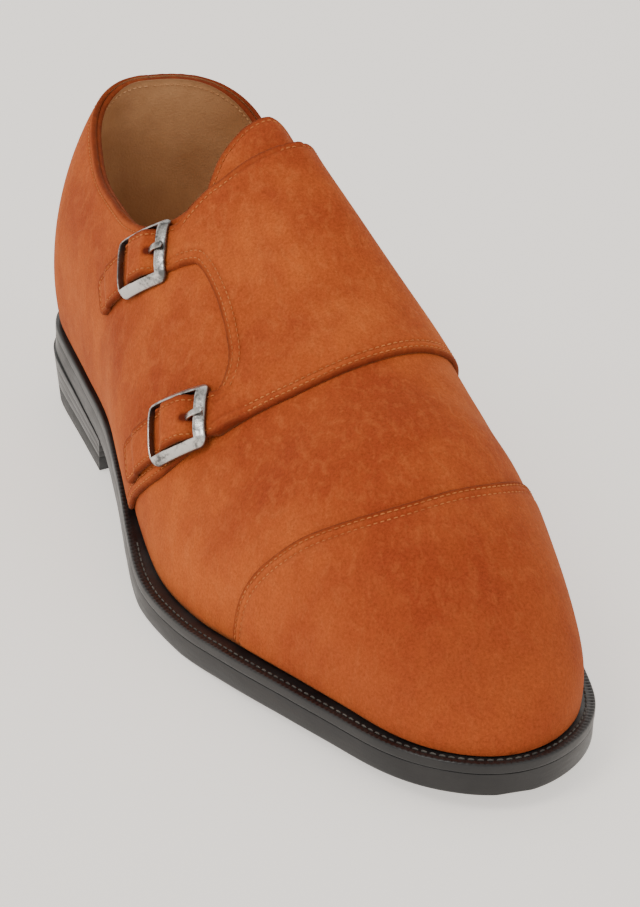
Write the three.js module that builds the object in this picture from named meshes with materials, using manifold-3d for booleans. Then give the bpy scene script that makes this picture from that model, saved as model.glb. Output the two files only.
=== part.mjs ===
// Double monk strap shoe for the right foot, as an assembly of its separate pieces.
// Millimetres, +Z up, toe towards +X, inner (medial) side of the foot towards +Y.
// The upper follows one surface, the last: onLast(x, v, offset) is the point at station x,
// measured from the back of the heel, and at share v of the way from the ridge (0) down to the
// feather edge of the medial side (1) or of the lateral side (-1), offset outwards by some mm.

import * as THREE from "three";
import { mergeVertices } from "three/addons/utils/BufferGeometryUtils.js";
import Module from "manifold-3d";

const wasm = await Module();
wasm.setup();

// ---------------------------------------------------------------- driving dimensions

const LAST_LENGTH = 290;
const GAP = 0.3; // between pieces that touch in the real shoe
const SKIN_GAP = 0.42; // between two layers of the upper, where facets come closer

const HEEL_ROUND_LENGTH = 31; // the plan is rounded off from here to the back of the heel
const HEEL_SQUARENESS = 2.7;
const TOE_ROUND_START = 257; // the plan is rounded off from here to the tip of the toe
const TOE_SQUARENESS = 2.9;
const CROWN_ROUND_START = 249; // and the height from here
const CROWN_SQUARENESS = 2.4;
const FOREPART_START = 150; // in front of here the toe's middle line is that of the plan

// The heel's back is rearmost at a height above the feather edge, and curves forward from there.
const HEEL_CURVE_HEIGHT = 20;
const HEEL_CURVE_FOOT = 3.6; // forward at the feather edge
const HEEL_CURVE_TOP = 4; // forward at a further height above the rearmost point
const HEEL_CURVE_RISE = 42;

const WALL = 1.8; // upper with its lining
const OVERLAY = 1.2; // cap, quarters, flap and straps
const REAR_INSET = 1.2; // the wall lies this much deeper where the quarters cover it
const INSET_FADE = 45; // length over which that depth fades out, from the forepart's start
const TONGUE_THICKNESS = 1.4;
const TONGUE_MIDDLE = -0.06; // the share at which the tongue's middle line runs

const WELT_THICKNESS = 2.9;
const OUTSOLE_THICKNESS = 6;
const FEATHER_OVERLAP = 2.8; // how far welt and rand reach in under the wall
const INSOLE_INSET = 3.5;
const INSOLE_TOE_INSET = 2.5; // further in at the toe, where the wall closes over it
const INSOLE_TOE_LENGTH = 20;
const INSOLE_TOP = 2.5; // above the feather edge

const BREAST_X = 76; // heel breast at the floor
const BREAST_SLANT = 7; // the breast leans forward by this much up to the sole
const BREAST_CURVE = 4; // and is hollow by this much
const TOP_PIECE_THICKNESS = 6;
const HEEL_TAPER = 2; // on each side, from the sole down to the floor

const STRAP_WIDTH = 14;
const BUCKLE_LENGTH = 21.5; // along the strap
const BUCKLE_WIDTH = 19.8;
const BUCKLE_BAR = 2.5; // width of the frame's metal
const BUCKLE_THICKNESS = 2;
const BUCKLE_CORNER = 2.2; // corner radius along the middle of the metal
const BUCKLE_BEVEL = 0.5;
const CENTRE_BAR_RADIUS = 0.8; // bar that the prong and the tab's loops turn on
const BAR_CLEARANCE = 0.25;
const TAB_WIDTH = 12;
const TAB_THICKNESS = 0.6;
const TAB_END = 20; // behind the buckle's middle
const TAB_SLOT = 3; // width of the slot in the tab's fold for the prong
const PRONG_WIDTH = 1.8;
const PUNCH_WIDTH = 2.6; // the strap's hole for the prong

// Cross-sections of the last. Feather edge height, medial and lateral half widths there, height
// and sideways shift of the ridge, lean of the sides, and fullness of the sides and of the crown.
const SECTION_COLUMNS = ["x", "feather", "medial", "lateral", "ridge", "shift", "leanMedial",
  "leanLateral", "side", "crown"];
const SECTIONS = [
  [0, 28.2, 33.5, 30, 113, 5.5, 0.39, 0.25, 0.52, 0.78],
  [30, 25.7, 31.5, 33, 113, 5.5, 0.3, 0.22, 0.48, 0.76],
  [60, 23.8, 26.5, 35, 118.5, 5.2, 0.23, 0.25, 0.44, 0.76],
  [90, 22, 18, 37.5, 123, 5, 0.29, 0.3, 0.41, 0.71],
  [115, 18.1, 17.3, 41.8, 116.8, 5.9, 0.33, 0.31, 0.38, 0.59],
  [140, 12.8, 26.3, 46, 104, 9.5, 0.26, 0.26, 0.38, 0.59],
  [165, 9.4, 38.4, 48, 88, 13.5, 0.19, 0.19, 0.4, 0.6],
  [190, 9.4, 43.8, 45, 77.2, 12, 0.13, 0.14, 0.44, 0.63],
  [215, 11.5, 43.5, 39, 70, 10.4, 0.12, 0.12, 0.52, 0.66],
  [240, 13.1, 40.4, 31, 57.8, 9.6, 0.12, 0.12, 0.57, 0.67],
  [265, 13.8, 35, 22.3, 44.4, 9.3, 0.13, 0.11, 0.6, 0.68],
  [290, 14.8, 27, 17, 34, 8, 0.13, 0.11, 0.6, 0.69],
];

// How far the welt and sole reach out past the feather edge.
const SOLE_MARGIN = [[0, 2], [60, 2], [90, 2.1], [130, 2.3], [170, 5.1], [300, 5.1]];

// Height of the collar edge on each side.
const COLLAR_COLUMNS = ["x", "medial", "lateral"];
const COLLAR = [
  [0, 100, 100],
  [20, 91, 92],
  [45, 82.8, 84.5],
  [65, 82.2, 83],
  [85, 89.2, 83.8],
  [100, 100.5, 89],
  [107, 108.3, 95.5],
  [111, 112.7, 102.8],
  [113.5, 115.2, 110],
  [115, 116.8, 116.8],
];
const THROAT_X = COLLAR[COLLAR.length - 1][0];

// Edge of the toe cap.
const CAP_EDGE = [[-1, 209], [-0.8, 211.5], [-0.6, 220], [-0.4, 228.5], [-0.2, 233], [0, 233],
  [0.2, 230], [0.4, 223], [0.6, 214.5], [0.8, 207.5], [1, 204]];

// ---------------------------------------------------------------- the last

const clamp = (value, low, high) => Math.min(Math.max(value, low), high);
const ease = (t) => t * t * (3 - 2 * t);

// A smooth curve through points [x, y], with no overshoot at its ends.
function curveThrough(points) {
  const count = points.length;
  const slopes = [];
  for (let i = 0; i < count - 1; i++) {
    slopes.push((points[i + 1][1] - points[i][1]) / (points[i + 1][0] - points[i][0]));
  }
  const tangents = [slopes[0]];
  for (let i = 1; i < count - 1; i++) {
    const before = points[i][0] - points[i - 1][0];
    const after = points[i + 1][0] - points[i][0];
    tangents.push((slopes[i - 1] * after + slopes[i] * before) / (before + after));
  }
  tangents.push(slopes[count - 2]);
  return (at) => {
    const x = clamp(at, points[0][0], points[count - 1][0]);
    let i = 0;
    while (i < count - 2 && x > points[i + 1][0]) i++;
    const width = points[i + 1][0] - points[i][0];
    const t = (x - points[i][0]) / width;
    const rise = ease(t);
    const lift = width * t * (1 - t) * ((1 - t) * tangents[i] - t * tangents[i + 1]);
    return points[i][1] + rise * (points[i + 1][1] - points[i][1]) + lift;
  };
}

function columnsOf(names, rows) {
  const curves = {};
  names.slice(1).forEach((name, k) => {
    curves[name] = curveThrough(rows.map((row) => [row[0], row[k + 1]]));
  });
  return curves;
}

const last = columnsOf(SECTION_COLUMNS, SECTIONS);
const collar = columnsOf(COLLAR_COLUMNS, COLLAR);
const soleMargin = curveThrough(SOLE_MARGIN);
const capEdge = curveThrough(CAP_EDGE);

function planRounding(x) {
  const toe = clamp((x - TOE_ROUND_START) / (LAST_LENGTH - TOE_ROUND_START), 0, 1);
  const heel = clamp(1 - x / HEEL_ROUND_LENGTH, 0, 1);
  return Math.sqrt(1 - toe ** TOE_SQUARENESS) *
    (1 - heel ** HEEL_SQUARENESS) ** (1 / HEEL_SQUARENESS);
}

function crownRounding(x) {
  const toe = clamp((x - CROWN_ROUND_START) / (LAST_LENGTH - CROWN_ROUND_START), 0, 1);
  return Math.sqrt(1 - toe ** CROWN_SQUARENESS);
}

// The curve of the heel's back, as a shift forward at a height above the feather edge.
function backCurve(height) {
  if (height < HEEL_CURVE_HEIGHT) {
    return HEEL_CURVE_FOOT * (1 - height / HEEL_CURVE_HEIGHT) ** 2;
  }
  return HEEL_CURVE_TOP * ((height - HEEL_CURVE_HEIGHT) / HEEL_CURVE_RISE) ** 1.6;
}

function bezier(a, b, c, d, t) {
  const s = 1 - t;
  return a * s ** 3 + 3 * b * s * s * t + 3 * c * s * t * t + d * t ** 3;
}

function lastSurface(x, v) {
  const side = v < 0 ? -1 : 1;
  const t = 1 - Math.abs(v);
  const shift = last.shift(x);
  const height = last.ridge(x) - last.feather(x);
  const width = (side > 0 ? last.medial(x) : last.lateral(x)) - side * shift;
  const lean = side > 0 ? last.leanMedial(x) : last.leanLateral(x);
  const full = last.side(x) * height;
  const crown = last.crown(x) * (last.medial(x) + last.lateral(x)) / 2;
  const out = bezier(width, width + lean * full, crown, 0, t);
  const up = bezier(0, full, height, height, t);
  const middle = x > FOREPART_START ? (last.medial(x) - last.lateral(x)) / 2 : 0;
  const rise = up * crownRounding(x);
  const heelShare = clamp(1 - x / HEEL_ROUND_LENGTH, 0, 1) ** 2;
  return new THREE.Vector3(
    x + heelShare * backCurve(rise),
    middle + (shift + side * out - middle) * planRounding(x),
    last.feather(x) + rise,
  );
}

function lastNormal(x, v) {
  if (x > LAST_LENGTH - 0.01) return new THREE.Vector3(1, 0, 0);
  const dv = 0.004;
  const vMid = clamp(v, -1 + dv, 1 - dv);
  if (x < 0.01) {
    const down = lastSurface(0, Math.abs(vMid) + dv).sub(lastSurface(0, Math.abs(vMid) - dv));
    return new THREE.Vector3(down.z, 0, -down.x).normalize();
  }
  const dx = 0.2 * Math.min(x, LAST_LENGTH - x, 2);
  const along = lastSurface(x + dx, v).sub(lastSurface(x - dx, v));
  const across = lastSurface(x, vMid + dv).sub(lastSurface(x, vMid - dv));
  return along.cross(across).normalize();
}

function onLast(x, v, offset = 0) {
  return lastSurface(x, v).addScaledVector(lastNormal(x, v), offset);
}

// How deep the wall's outer face lies under the last's surface at station x.
function wallInset(x) {
  return REAR_INSET * (1 - ease(clamp((x - FOREPART_START) / INSET_FADE, 0, 1)));
}

// A point at some height above the wall's outer face.
const onWall = (x, v, height = 0) => onLast(x, v, height - wallInset(x));

// The share v at which the collar edge crosses station x. side is 1 for medial, -1 for lateral.
function collarShare(x, side) {
  if (x >= THROAT_X) return 0;
  const height = side > 0 ? collar.medial(x) : collar.lateral(x);
  let low = 0;
  let high = 1;
  for (let i = 0; i < 40; i++) {
    const middle = (low + high) / 2;
    if (lastSurface(x, side * middle).z > height) low = middle;
    else high = middle;
  }
  return side * high;
}

// A point on the sole's plan: the feather edge moved outwards by some mm.
function featherPlan(x, side, grow) {
  const at = lastSurface(x, side);
  let outward = new THREE.Vector2(x < LAST_LENGTH / 2 ? -1 : 1, 0);
  if (x > 0.01 && x < LAST_LENGTH - 0.01) {
    const dx = 0.2 * Math.min(x, LAST_LENGTH - x, 2);
    const run = lastSurface(x + dx, side).sub(lastSurface(x - dx, side));
    outward = new THREE.Vector2(-side * run.y, side * run.x).normalize();
  }
  return new THREE.Vector2(at.x + grow * outward.x, at.y + grow * outward.y);
}

// ---------------------------------------------------------------- making solids

// Stations, closer together where the surface turns.
const HEEL_STATIONS = [0, 0.5, 2, 4.5, 8.5, 14, 21, 30, 43, 58];
const SIDE_STATIONS = [71, 84, 95, 103, 109, 112.3, 114.3, THROAT_X];
const FORE_STATIONS = [121, 130, 140, 150, 160, 170, 180, 190, 201, 213, 225, 236, 246,
  254, 262, 270, 277.5, 283.5, 287.5, 289.4, 290];
const STATIONS = [...HEEL_STATIONS, ...SIDE_STATIONS, ...FORE_STATIONS];
const SHARES = [0, 0.06, 0.13, 0.22, 0.33, 0.45, 0.58, 0.72, 0.86, 1];
const BOTH_SIDES = [...SHARES.slice(1).reverse().map((share) => -share), ...SHARES];

const between = (a, b, t) => a + (b - a) * t;

function geometryFrom(points, faces) {
  const geometry = new THREE.BufferGeometry();
  const flat = points.flatMap((p) => [p.x, p.y, p.z]);
  geometry.setAttribute("position", new THREE.Float32BufferAttribute(flat, 3));
  geometry.setIndex(faces.flat());
  return geometry;
}

// Places that round to the same multiple of this are one point. The shift keeps whole and half
// millimetres away from where the rounding changes.
const WELD = 0.002;
const WELD_SHIFT = 0.137;

// The closed solid between two copies of some sheets. A sheet is a grid of parameter points
// [x, v] or [x, share], and outer and inner turn such a point into a place. A turn from x to v in a
// sheet is anticlockwise as seen from outside. Sheets join where their places agree.
function solidBetween(sheets, outer, inner) {
  const places = new Map();
  const outers = [];
  const inners = [];
  const indexOf = (parameters) => {
    const above = outer(...parameters);
    const below = inner(...parameters);
    const key = [...above, ...below].map((c) => Math.round(c / WELD + WELD_SHIFT)).join();
    if (!places.has(key)) {
      places.set(key, outers.length);
      outers.push(above);
      inners.push(below);
    }
    return places.get(key);
  };
  const tops = [];
  const addTriangle = (corners) => {
    const [a, b, c] = corners.map((corner) => corner.index);
    if (a === b || b === c || c === a) return;
    const [p, q, r] = corners.map((corner) => corner.parameters);
    const turn = (q[0] - p[0]) * (r[1] - p[1]) - (q[1] - p[1]) * (r[0] - p[0]);
    tops.push(turn > 0 ? [a, b, c] : [a, c, b]);
  };
  for (const sheet of sheets) {
    const grid = sheet.map((row) => row.map((parameters) => (
      { parameters, index: indexOf(parameters) })));
    for (let r = 0; r + 1 < grid.length; r++) {
      for (let c = 0; c + 1 < grid[r].length; c++) {
        addTriangle([grid[r][c], grid[r][c + 1], grid[r + 1][c + 1]]);
        addTriangle([grid[r][c], grid[r + 1][c + 1], grid[r + 1][c]]);
      }
    }
  }
  const edges = new Set(tops.flatMap(([a, b, c]) => [`${a} ${b}`, `${b} ${c}`, `${c} ${a}`]));
  const count = outers.length;
  const faces = [...tops];
  for (const [a, b, c] of tops) faces.push([a + count, c + count, b + count]);
  for (const edge of edges) {
    const [a, b] = edge.split(" ").map(Number);
    if (edges.has(`${b} ${a}`)) continue;
    faces.push([b, a, a + count], [b, a + count, b + count]);
  }
  return geometryFrom([...outers, ...inners], faces);
}

// A closed solid through rings of points, either with flat ends or joined into a loop.
function solidThrough(rings, looped = false) {
  const size = rings[0].length;
  const faces = [];
  const steps = looped ? rings.length : rings.length - 1;
  for (let r = 0; r < steps; r++) {
    const next = (r + 1) % rings.length;
    for (let k = 0; k < size; k++) {
      const k2 = (k + 1) % size;
      const [a, b] = [r * size + k, r * size + k2];
      const [c, d] = [next * size + k2, next * size + k];
      faces.push([a, b, c], [a, c, d]);
    }
  }
  if (!looped) {
    const end = (rings.length - 1) * size;
    for (let k = 1; k + 1 < size; k++) {
      faces.push([0, k + 1, k], [end, end + k, end + k + 1]);
    }
  }
  const points = rings.flat();
  let volume = 0;
  for (const [a, b, c] of faces) volume += points[a].dot(points[b].clone().cross(points[c]));
  if (volume < 0) faces.forEach((face) => face.reverse());
  return geometryFrom(points, faces);
}

function toManifold(geometry) {
  const bare = new THREE.BufferGeometry();
  bare.setAttribute("position", geometry.getAttribute("position"));
  bare.setIndex(geometry.getIndex());
  const merged = mergeVertices(bare, 1e-4);
  return new wasm.Manifold(new wasm.Mesh({
    numProp: 3,
    vertProperties: new Float32Array(merged.getAttribute("position").array),
    triVerts: new Uint32Array(merged.getIndex().array),
  }));
}

function fromManifold(solid) {
  const { vertProperties, triVerts } = solid.getMesh();
  const geometry = new THREE.BufferGeometry();
  geometry.setAttribute("position", new THREE.Float32BufferAttribute(vertProperties, 3));
  geometry.setIndex(Array.from(triVerts));
  return geometry;
}

const union = (a, b) => fromManifold(toManifold(a).add(toManifold(b)));
const difference = (a, b) => fromManifold(toManifold(a).subtract(toManifold(b)));

// ---------------------------------------------------------------- sole and heel

const featherHeight = (x) => last.feather(x);
const weltTop = (x) => featherHeight(x) - GAP;
const outsoleTop = (x) => weltTop(x) - WELT_THICKNESS - GAP;
const outsoleBottom = (x) => Math.max(0, outsoleTop(x) - OUTSOLE_THICKNESS);
const SOLE_SHARES = [0, 0.5, 1];
const SOLE_SHEET = STATIONS.map((x) => SOLE_SHARES.map((share) => [x, share]));

const lift = (plan, height) => new THREE.Vector3(plan.x, plan.y, height);

function acrossSole(x, share, grow) {
  const lateral = featherPlan(x, -1, grow);
  return lateral.lerp(featherPlan(x, 1, grow), share);
}

function outsole() {
  const place = (height) => (x, share) => {
    const plan = acrossSole(x, share, soleMargin(x));
    return lift(plan, height(plan.x));
  };
  return solidBetween([SOLE_SHEET], place(outsoleTop), place(outsoleBottom));
}

// A strip between wall and sole that follows the feather edge through stations [x, side].
function soleStrip(stations) {
  return solidThrough(stations.map(([x, side]) => {
    const inside = featherPlan(x, side, -FEATHER_OVERLAP);
    const outside = featherPlan(x, side, soleMargin(x));
    return [
      lift(inside, weltTop(inside.x) - WELT_THICKNESS),
      lift(outside, weltTop(outside.x) - WELT_THICKNESS),
      lift(outside, weltTop(outside.x)),
      lift(inside, weltTop(inside.x)),
    ];
  }));
}

const STRIP_JOIN = BREAST_X + 4; // welt in front, seat rand behind

function welt() {
  const forward = [STRIP_JOIN, ...STATIONS.filter((x) => x > STRIP_JOIN)];
  const back = forward.slice(0, -1).reverse();
  return soleStrip([...forward.map((x) => [x, -1]), ...back.map((x) => [x, 1])]);
}

function seatRand() {
  const forward = [...STATIONS.filter((x) => x < STRIP_JOIN - 1), STRIP_JOIN - 2 * GAP];
  const back = forward.slice(1).reverse();
  return soleStrip([...back.map((x) => [x, -1]), ...forward.map((x) => [x, 1])]);
}

function insole() {
  const inset = (x) => {
    const toe = clamp(1 - (LAST_LENGTH - x) / INSOLE_TOE_LENGTH, 0, 1);
    return INSOLE_INSET + INSOLE_TOE_INSET * ease(toe);
  };
  const place = (height) => (x, share) => {
    const plan = acrossSole(x, share, -inset(x));
    return lift(plan, height(plan.x));
  };
  const top = (x) => featherHeight(x) + INSOLE_TOP;
  const bottom = (x) => outsoleTop(x) + GAP;
  return solidBetween([SOLE_SHEET], place(top), place(bottom));
}

// The heel's plan at a height, for shares of its length and width.
const SEAT_HEIGHT = outsoleBottom(BREAST_X);
const HEEL_LENGTH_SHARES = [...HEEL_STATIONS.map((x) => x / BREAST_X), 0.9, 1];
const HEEL_WIDTH_SHARES = [0, 0.25, 0.5, 0.75, 1];

function heelPlan(along, share, height) {
  const up = height / SEAT_HEIGHT;
  const x = along * (BREAST_X + BREAST_SLANT * up);
  const plan = acrossSole(x, share, soleMargin(x) - HEEL_TAPER * (1 - up));
  plan.x -= BREAST_CURVE * 4 * share * (1 - share) * along ** 6;
  return plan;
}

function heelPiece(top, bottom) {
  const sheet = HEEL_LENGTH_SHARES.map((along) => (
    HEEL_WIDTH_SHARES.map((share) => [along, share])));
  return solidBetween([sheet], top, bottom);
}

const heelLevel = (height) => (along, share) => lift(heelPlan(along, share, height), height);

function heelStack() {
  const top = (along, share) => {
    const rough = heelPlan(along, share, SEAT_HEIGHT);
    const plan = heelPlan(along, share, outsoleBottom(rough.x) - GAP);
    return lift(plan, outsoleBottom(plan.x) - GAP);
  };
  return heelPiece(top, heelLevel(TOP_PIECE_THICKNESS + GAP));
}

const topPiece = () => heelPiece(heelLevel(TOP_PIECE_THICKNESS), heelLevel(0));

// ---------------------------------------------------------------- upper and tongue

const FEATHER_SHARE = 0.985; // overlays stop just short of the feather edge

function sideSheet(side, stations, shares, edge) {
  return stations.map((x) => {
    const top = collarShare(x, side);
    return shares.map((share) => [x, between(top, side * edge, share)]);
  });
}

function upper() {
  const rear = [...HEEL_STATIONS, ...SIDE_STATIONS];
  const fore = [THROAT_X, ...FORE_STATIONS].map((x) => BOTH_SIDES.map((v) => [x, v]));
  const sheets = [sideSheet(1, rear, SHARES, 1), sideSheet(-1, rear, SHARES, 1), fore];
  return solidBetween(sheets, (x, v) => onWall(x, v), (x, v) => onWall(x, v, -WALL));
}

// Half the tongue's width at station x. Its top is rounded and stands above the flap.
const TONGUE_HALF = [[97.5, 0.09], [98.7, 0.17], [102, 0.25], [110, 0.31], [160, 0.28]];
const TONGUE_STATIONS = [97.5, 98.5, 100, 102.5, 106, 110.5, 116, 123, 131, 140, 150, 160];
const TONGUE_SHARES = [-1, -0.8, -0.6, -0.4, -0.2, 0, 0.2, 0.4, 0.6, 0.8, 1];

function tongue() {
  const half = curveThrough(TONGUE_HALF);
  const sheet = TONGUE_STATIONS.map((x) => (
    TONGUE_SHARES.map((share) => [x, share * half(x) + TONGUE_MIDDLE])));
  const deep = WALL + 2.4 * GAP;
  return solidBetween(
    [sheet],
    (x, v) => onWall(x, v, -deep),
    (x, v) => onWall(x, v, -deep - TONGUE_THICKNESS),
  );
}

const CAP_BLEND_END = 246; // behind here the cap's stations follow its edge

function toeCap() {
  const toe = FORE_STATIONS.filter((x) => x > CAP_BLEND_END);
  const shares = [0, 0.2, 0.4, 0.6, 0.8];
  const near = shares.map((share) => (
    BOTH_SIDES.map((v) => [between(capEdge(v), toe[0], share), v])));
  const far = toe.map((x) => BOTH_SIDES.map((v) => [x, v]));
  const sheet = [...near, ...far].map((row) => row.map(([x, v]) => [x, v * FEATHER_SHARE]));
  return solidBetween(
    [sheet],
    (x, v) => onWall(x, v, SKIN_GAP + OVERLAY),
    (x, v) => onWall(x, v, SKIN_GAP),
  );
}

// ---------------------------------------------------------------- quarters, flap and straps

// Where a buckle sits on the last. slope is how steeply its strap runs down towards the heel,
// and reach how far the strap's end lies behind the buckle's middle.
const BUCKLES = {
  upper: { x: 103, v: -0.546, slope: 44, reach: 29 },
  lower: { x: 155.7, v: -0.625, slope: 47, reach: 31 },
};

// Bends a flat piece, drawn along and across the strap, onto the wall under the buckle.
function strapFrame({ x, v, slope }) {
  const along = lastSurface(x + 1, v).sub(lastSurface(x - 1, v)).divideScalar(2);
  const across = lastSurface(x, v + 0.01).sub(lastSurface(x, v - 0.01)).divideScalar(0.02);
  const normal = lastNormal(x, v);
  const angle = THREE.MathUtils.degToRad(slope);
  const backward = new THREE.Vector3(-Math.cos(angle), 0, -Math.sin(angle));
  backward.addScaledVector(normal, -backward.dot(normal)).normalize();
  const downward = normal.clone().cross(backward);
  const solve = (direction) => {
    const [aa, ab, bb] = [along.dot(along), along.dot(across), across.dot(across)];
    const [da, db] = [direction.dot(along), direction.dot(across)];
    const scale = 1 / (aa * bb - ab * ab);
    return [scale * (bb * da - ab * db), scale * (aa * db - ab * da)];
  };
  const backStep = solve(backward);
  const downStep = solve(downward);
  const flat = (a, b) => [x + a * backStep[0] + b * downStep[0],
    v + a * backStep[1] + b * downStep[1]];
  return { flat, bend: (a, b, height) => onWall(...flat(a, b), height) };
}

const frames = { upper: strapFrame(BUCKLES.upper), lower: strapFrame(BUCKLES.lower) };

// The quarters meet at the back seam, each half a gap from the middle.
function behindSeam(side, point) {
  point.y = side > 0 ? Math.max(point.y, GAP / 2) : Math.min(point.y, -GAP / 2);
  return point;
}

const quarterPlace = (side, base) => (x, v, height = SKIN_GAP) => (
  x < 1 ? behindSeam(side, onWall(x, v, height + base)) : onWall(x, v, height + base));

// The edges of a quarter, as matched points along its top and its bottom.
const EDGE_COLUMNS = ["topX", "topV", "bottomX", "bottomV"];

// Medial quarter: forward of the waist its lower edge is a seam that climbs over the instep, and
// its top edge is the throat.
const STRAP_QUARTER_EDGES = [
  [71, null, 73, 0.968],
  [80, null, 88, 0.915],
  [90, null, 105, 0.862],
  [99, null, 121, 0.811],
  [105.5, null, 136, 0.762],
  [109.5, null, 147.5, 0.708],
  [112, null, 158.3, 0.622],
  [113.8, null, 166.8, 0.504],
  [114.6, null, 174.3, 0.362],
  [115, 0, 180.6, 0.196],
  [114.8, -0.11, 184, 0.02],
  [113.7, -0.2, 184.6, -0.12],
  [112, -0.285, 182.6, -0.27],
  [110, -0.345, 177.5, -0.405],
];
// The hollow between the two straps.
const NOTCH = [[121.3, -0.456], [126.5, -0.424], [140, -0.414], [153.5, -0.434], [158.3, -0.462]];

// Lateral quarter: its front edge shows below the lower strap, the rest of it lies under the flap.
const LATERAL_QUARTER_EDGES = [
  [71, null, 71, -0.985],
  [85, null, 88, -0.985],
  [98, null, 104, -0.985],
  [106, null, 119, -0.985],
  [111, null, 133, -0.985],
  [121, -0.33, 141.5, -0.9],
  [134, -0.345, 149, -0.825],
  [147, -0.37, 156.5, -0.745],
  [156, -0.43, 162.5, -0.655],
  [161.5, -0.5, 165.5, -0.58],
];

function edgeColumns(edges, side) {
  const rear = HEEL_STATIONS.map((x) => [x, collarShare(x, side), x, side * FEATHER_SHARE]);
  const rows = edges.map(([x, v, ...bottom]) => [x, v ?? collarShare(x, side), ...bottom]);
  const curves = EDGE_COLUMNS.map((_, k) => curveThrough(rows.map((row, i) => [i, row[k]])));
  const front = [];
  for (let i = 0; i <= rows.length - 1; i += 0.5) front.push(curves.map((curve) => curve(i)));
  return [...rear, ...front];
}

const STRAP_ROOT = -14; // where flap and strap meet, in front of the buckle's middle
const STRAP_ROWS = [-1, -0.35, 0.35, 1];
const LOW = SKIN_GAP + OVERLAY + SKIN_GAP; // over the lateral quarter
const OVER_TAB = LOW + TAB_THICKNESS + GAP;
const BAR_HEIGHT = LOW + TAB_THICKNESS + BAR_CLEARANCE + CENTRE_BAR_RADIUS;
const OVER_BAR = BAR_HEIGHT + CENTRE_BAR_RADIUS + BAR_CLEARANCE + TAB_THICKNESS + GAP;

// Height of a strap's underside: flat on the quarter, over the centre bar, then over the tab.
const STRAP_RISE = [[STRAP_ROOT, LOW], [-8, LOW], [-2.6, OVER_BAR], [2.6, OVER_BAR],
  [7.5, OVER_TAB], [TAB_END + 1, OVER_TAB], [TAB_END + 4, LOW]];

function strapRise(a) {
  const next = STRAP_RISE.findIndex(([end]) => end > a);
  if (next < 1) return LOW;
  const [start, low] = STRAP_RISE[next - 1];
  const [end, high] = STRAP_RISE[next];
  return between(low, high, ease((a - start) / (end - start)));
}

const STRAP_STATIONS = [STRAP_ROOT, -11, -8, -6.6, -5.3, -4, -2.6, 0, 2.6, 4.2, 5.8, 7.5, 11, 14.5,
  18, 21, 24];
const STRAP_END_ROUND = 1.6; // length of its rounded corners

function strapSheet(frame, reach) {
  const shoulder = reach - STRAP_END_ROUND;
  return [...STRAP_STATIONS, shoulder, reach].map((a) => {
    let narrow = 1;
    if (a === shoulder) narrow = 0.95;
    if (a === reach) narrow = 0.72;
    return STRAP_ROWS.map((row) => {
      const b = row * narrow * STRAP_WIDTH / 2;
      return [...frame.flat(a, b), strapRise(a)];
    });
  });
}

// A block from under a strap to well over its buckle, to cut a hole from one a to another.
function cutter(frame, from, to, width) {
  const corners = [[-1, 0.5], [1, 0.5], [1, 8], [-1, 8]];
  return solidThrough([from, to].map((a) => (
    corners.map(([sign, height]) => frame.bend(a, sign * width / 2, height)))));
}

function strapQuarter() {
  const roots = STRAP_ROWS.map((row) => row * STRAP_WIDTH / 2);
  const end = [
    ...roots.map((b) => frames.upper.flat(STRAP_ROOT, b)),
    ...NOTCH,
    ...roots.map((b) => frames.lower.flat(STRAP_ROOT, b)),
  ];
  const lengths = [0];
  end.slice(1).forEach((p, i) => {
    const step = onLast(...p).distanceTo(onLast(...end[i]));
    lengths.push(lengths[i] + step);
  });
  const shares = lengths.map((length) => length / lengths[lengths.length - 1]);
  const columns = edgeColumns(STRAP_QUARTER_EDGES, 1);
  const bendStart = columns.length - 9;
  const first = end[0];
  const final = end[end.length - 1];
  const rise = (v) => between(SKIN_GAP, LOW, ease(clamp((-v - 0.02) / 0.2, 0, 1)));
  const body = columns.map(([topX, topV, bottomX, bottomV], i) => {
    const bend = ease(clamp((i - bendStart) / (columns.length - bendStart), 0, 1));
    return shares.map((share, k) => {
      const x = between(topX, bottomX, share);
      const v = between(topV, bottomV, share);
      const offX = end[k][0] - between(first[0], final[0], share);
      const offV = end[k][1] - between(first[1], final[1], share);
      return [x + bend * offX, v + bend * offV, rise(v + bend * offV)];
    });
  });
  body.push(end.map(([x, v]) => [x, v, LOW]));
  const sheets = [
    body,
    strapSheet(frames.upper, BUCKLES.upper.reach),
    strapSheet(frames.lower, BUCKLES.lower.reach),
  ];
  let solid = solidBetween(sheets, quarterPlace(1, OVERLAY), quarterPlace(1, 0));
  for (const frame of [frames.upper, frames.lower]) {
    solid = difference(solid, cutter(frame, -6.5, -3, PUNCH_WIDTH));
  }
  return solid;
}

function lateralQuarter() {
  const shares = [0, 0.1, 0.22, 0.35, 0.5, 0.65, 0.78, 0.89, 1];
  const sheet = edgeColumns(LATERAL_QUARTER_EDGES, -1).map(([topX, topV, bottomX, bottomV]) => (
    shares.map((share) => [between(topX, bottomX, share), between(topV, bottomV, share)])));
  return solidBetween([sheet], quarterPlace(-1, OVERLAY), quarterPlace(-1, 0));
}

// ---------------------------------------------------------------- buckles

// A band drawn in the strap's lengthwise section, as points [a, height], swept across it.
function bandAcross(frame, path, width, thickness) {
  const half = width / 2;
  const rings = path.map((point, i) => {
    const before = path[Math.max(i - 1, 0)];
    const after = path[Math.min(i + 1, path.length - 1)];
    const run = new THREE.Vector2(after[0] - before[0], after[1] - before[1]).normalize();
    const [a, height] = point;
    const [outA, outHeight] = [-run.y * thickness / 2, run.x * thickness / 2];
    return [
      frame.bend(a + outA, -half, height + outHeight),
      frame.bend(a + outA, half, height + outHeight),
      frame.bend(a - outA, half, height - outHeight),
      frame.bend(a - outA, -half, height - outHeight),
    ];
  });
  return solidThrough(rings);
}

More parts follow.
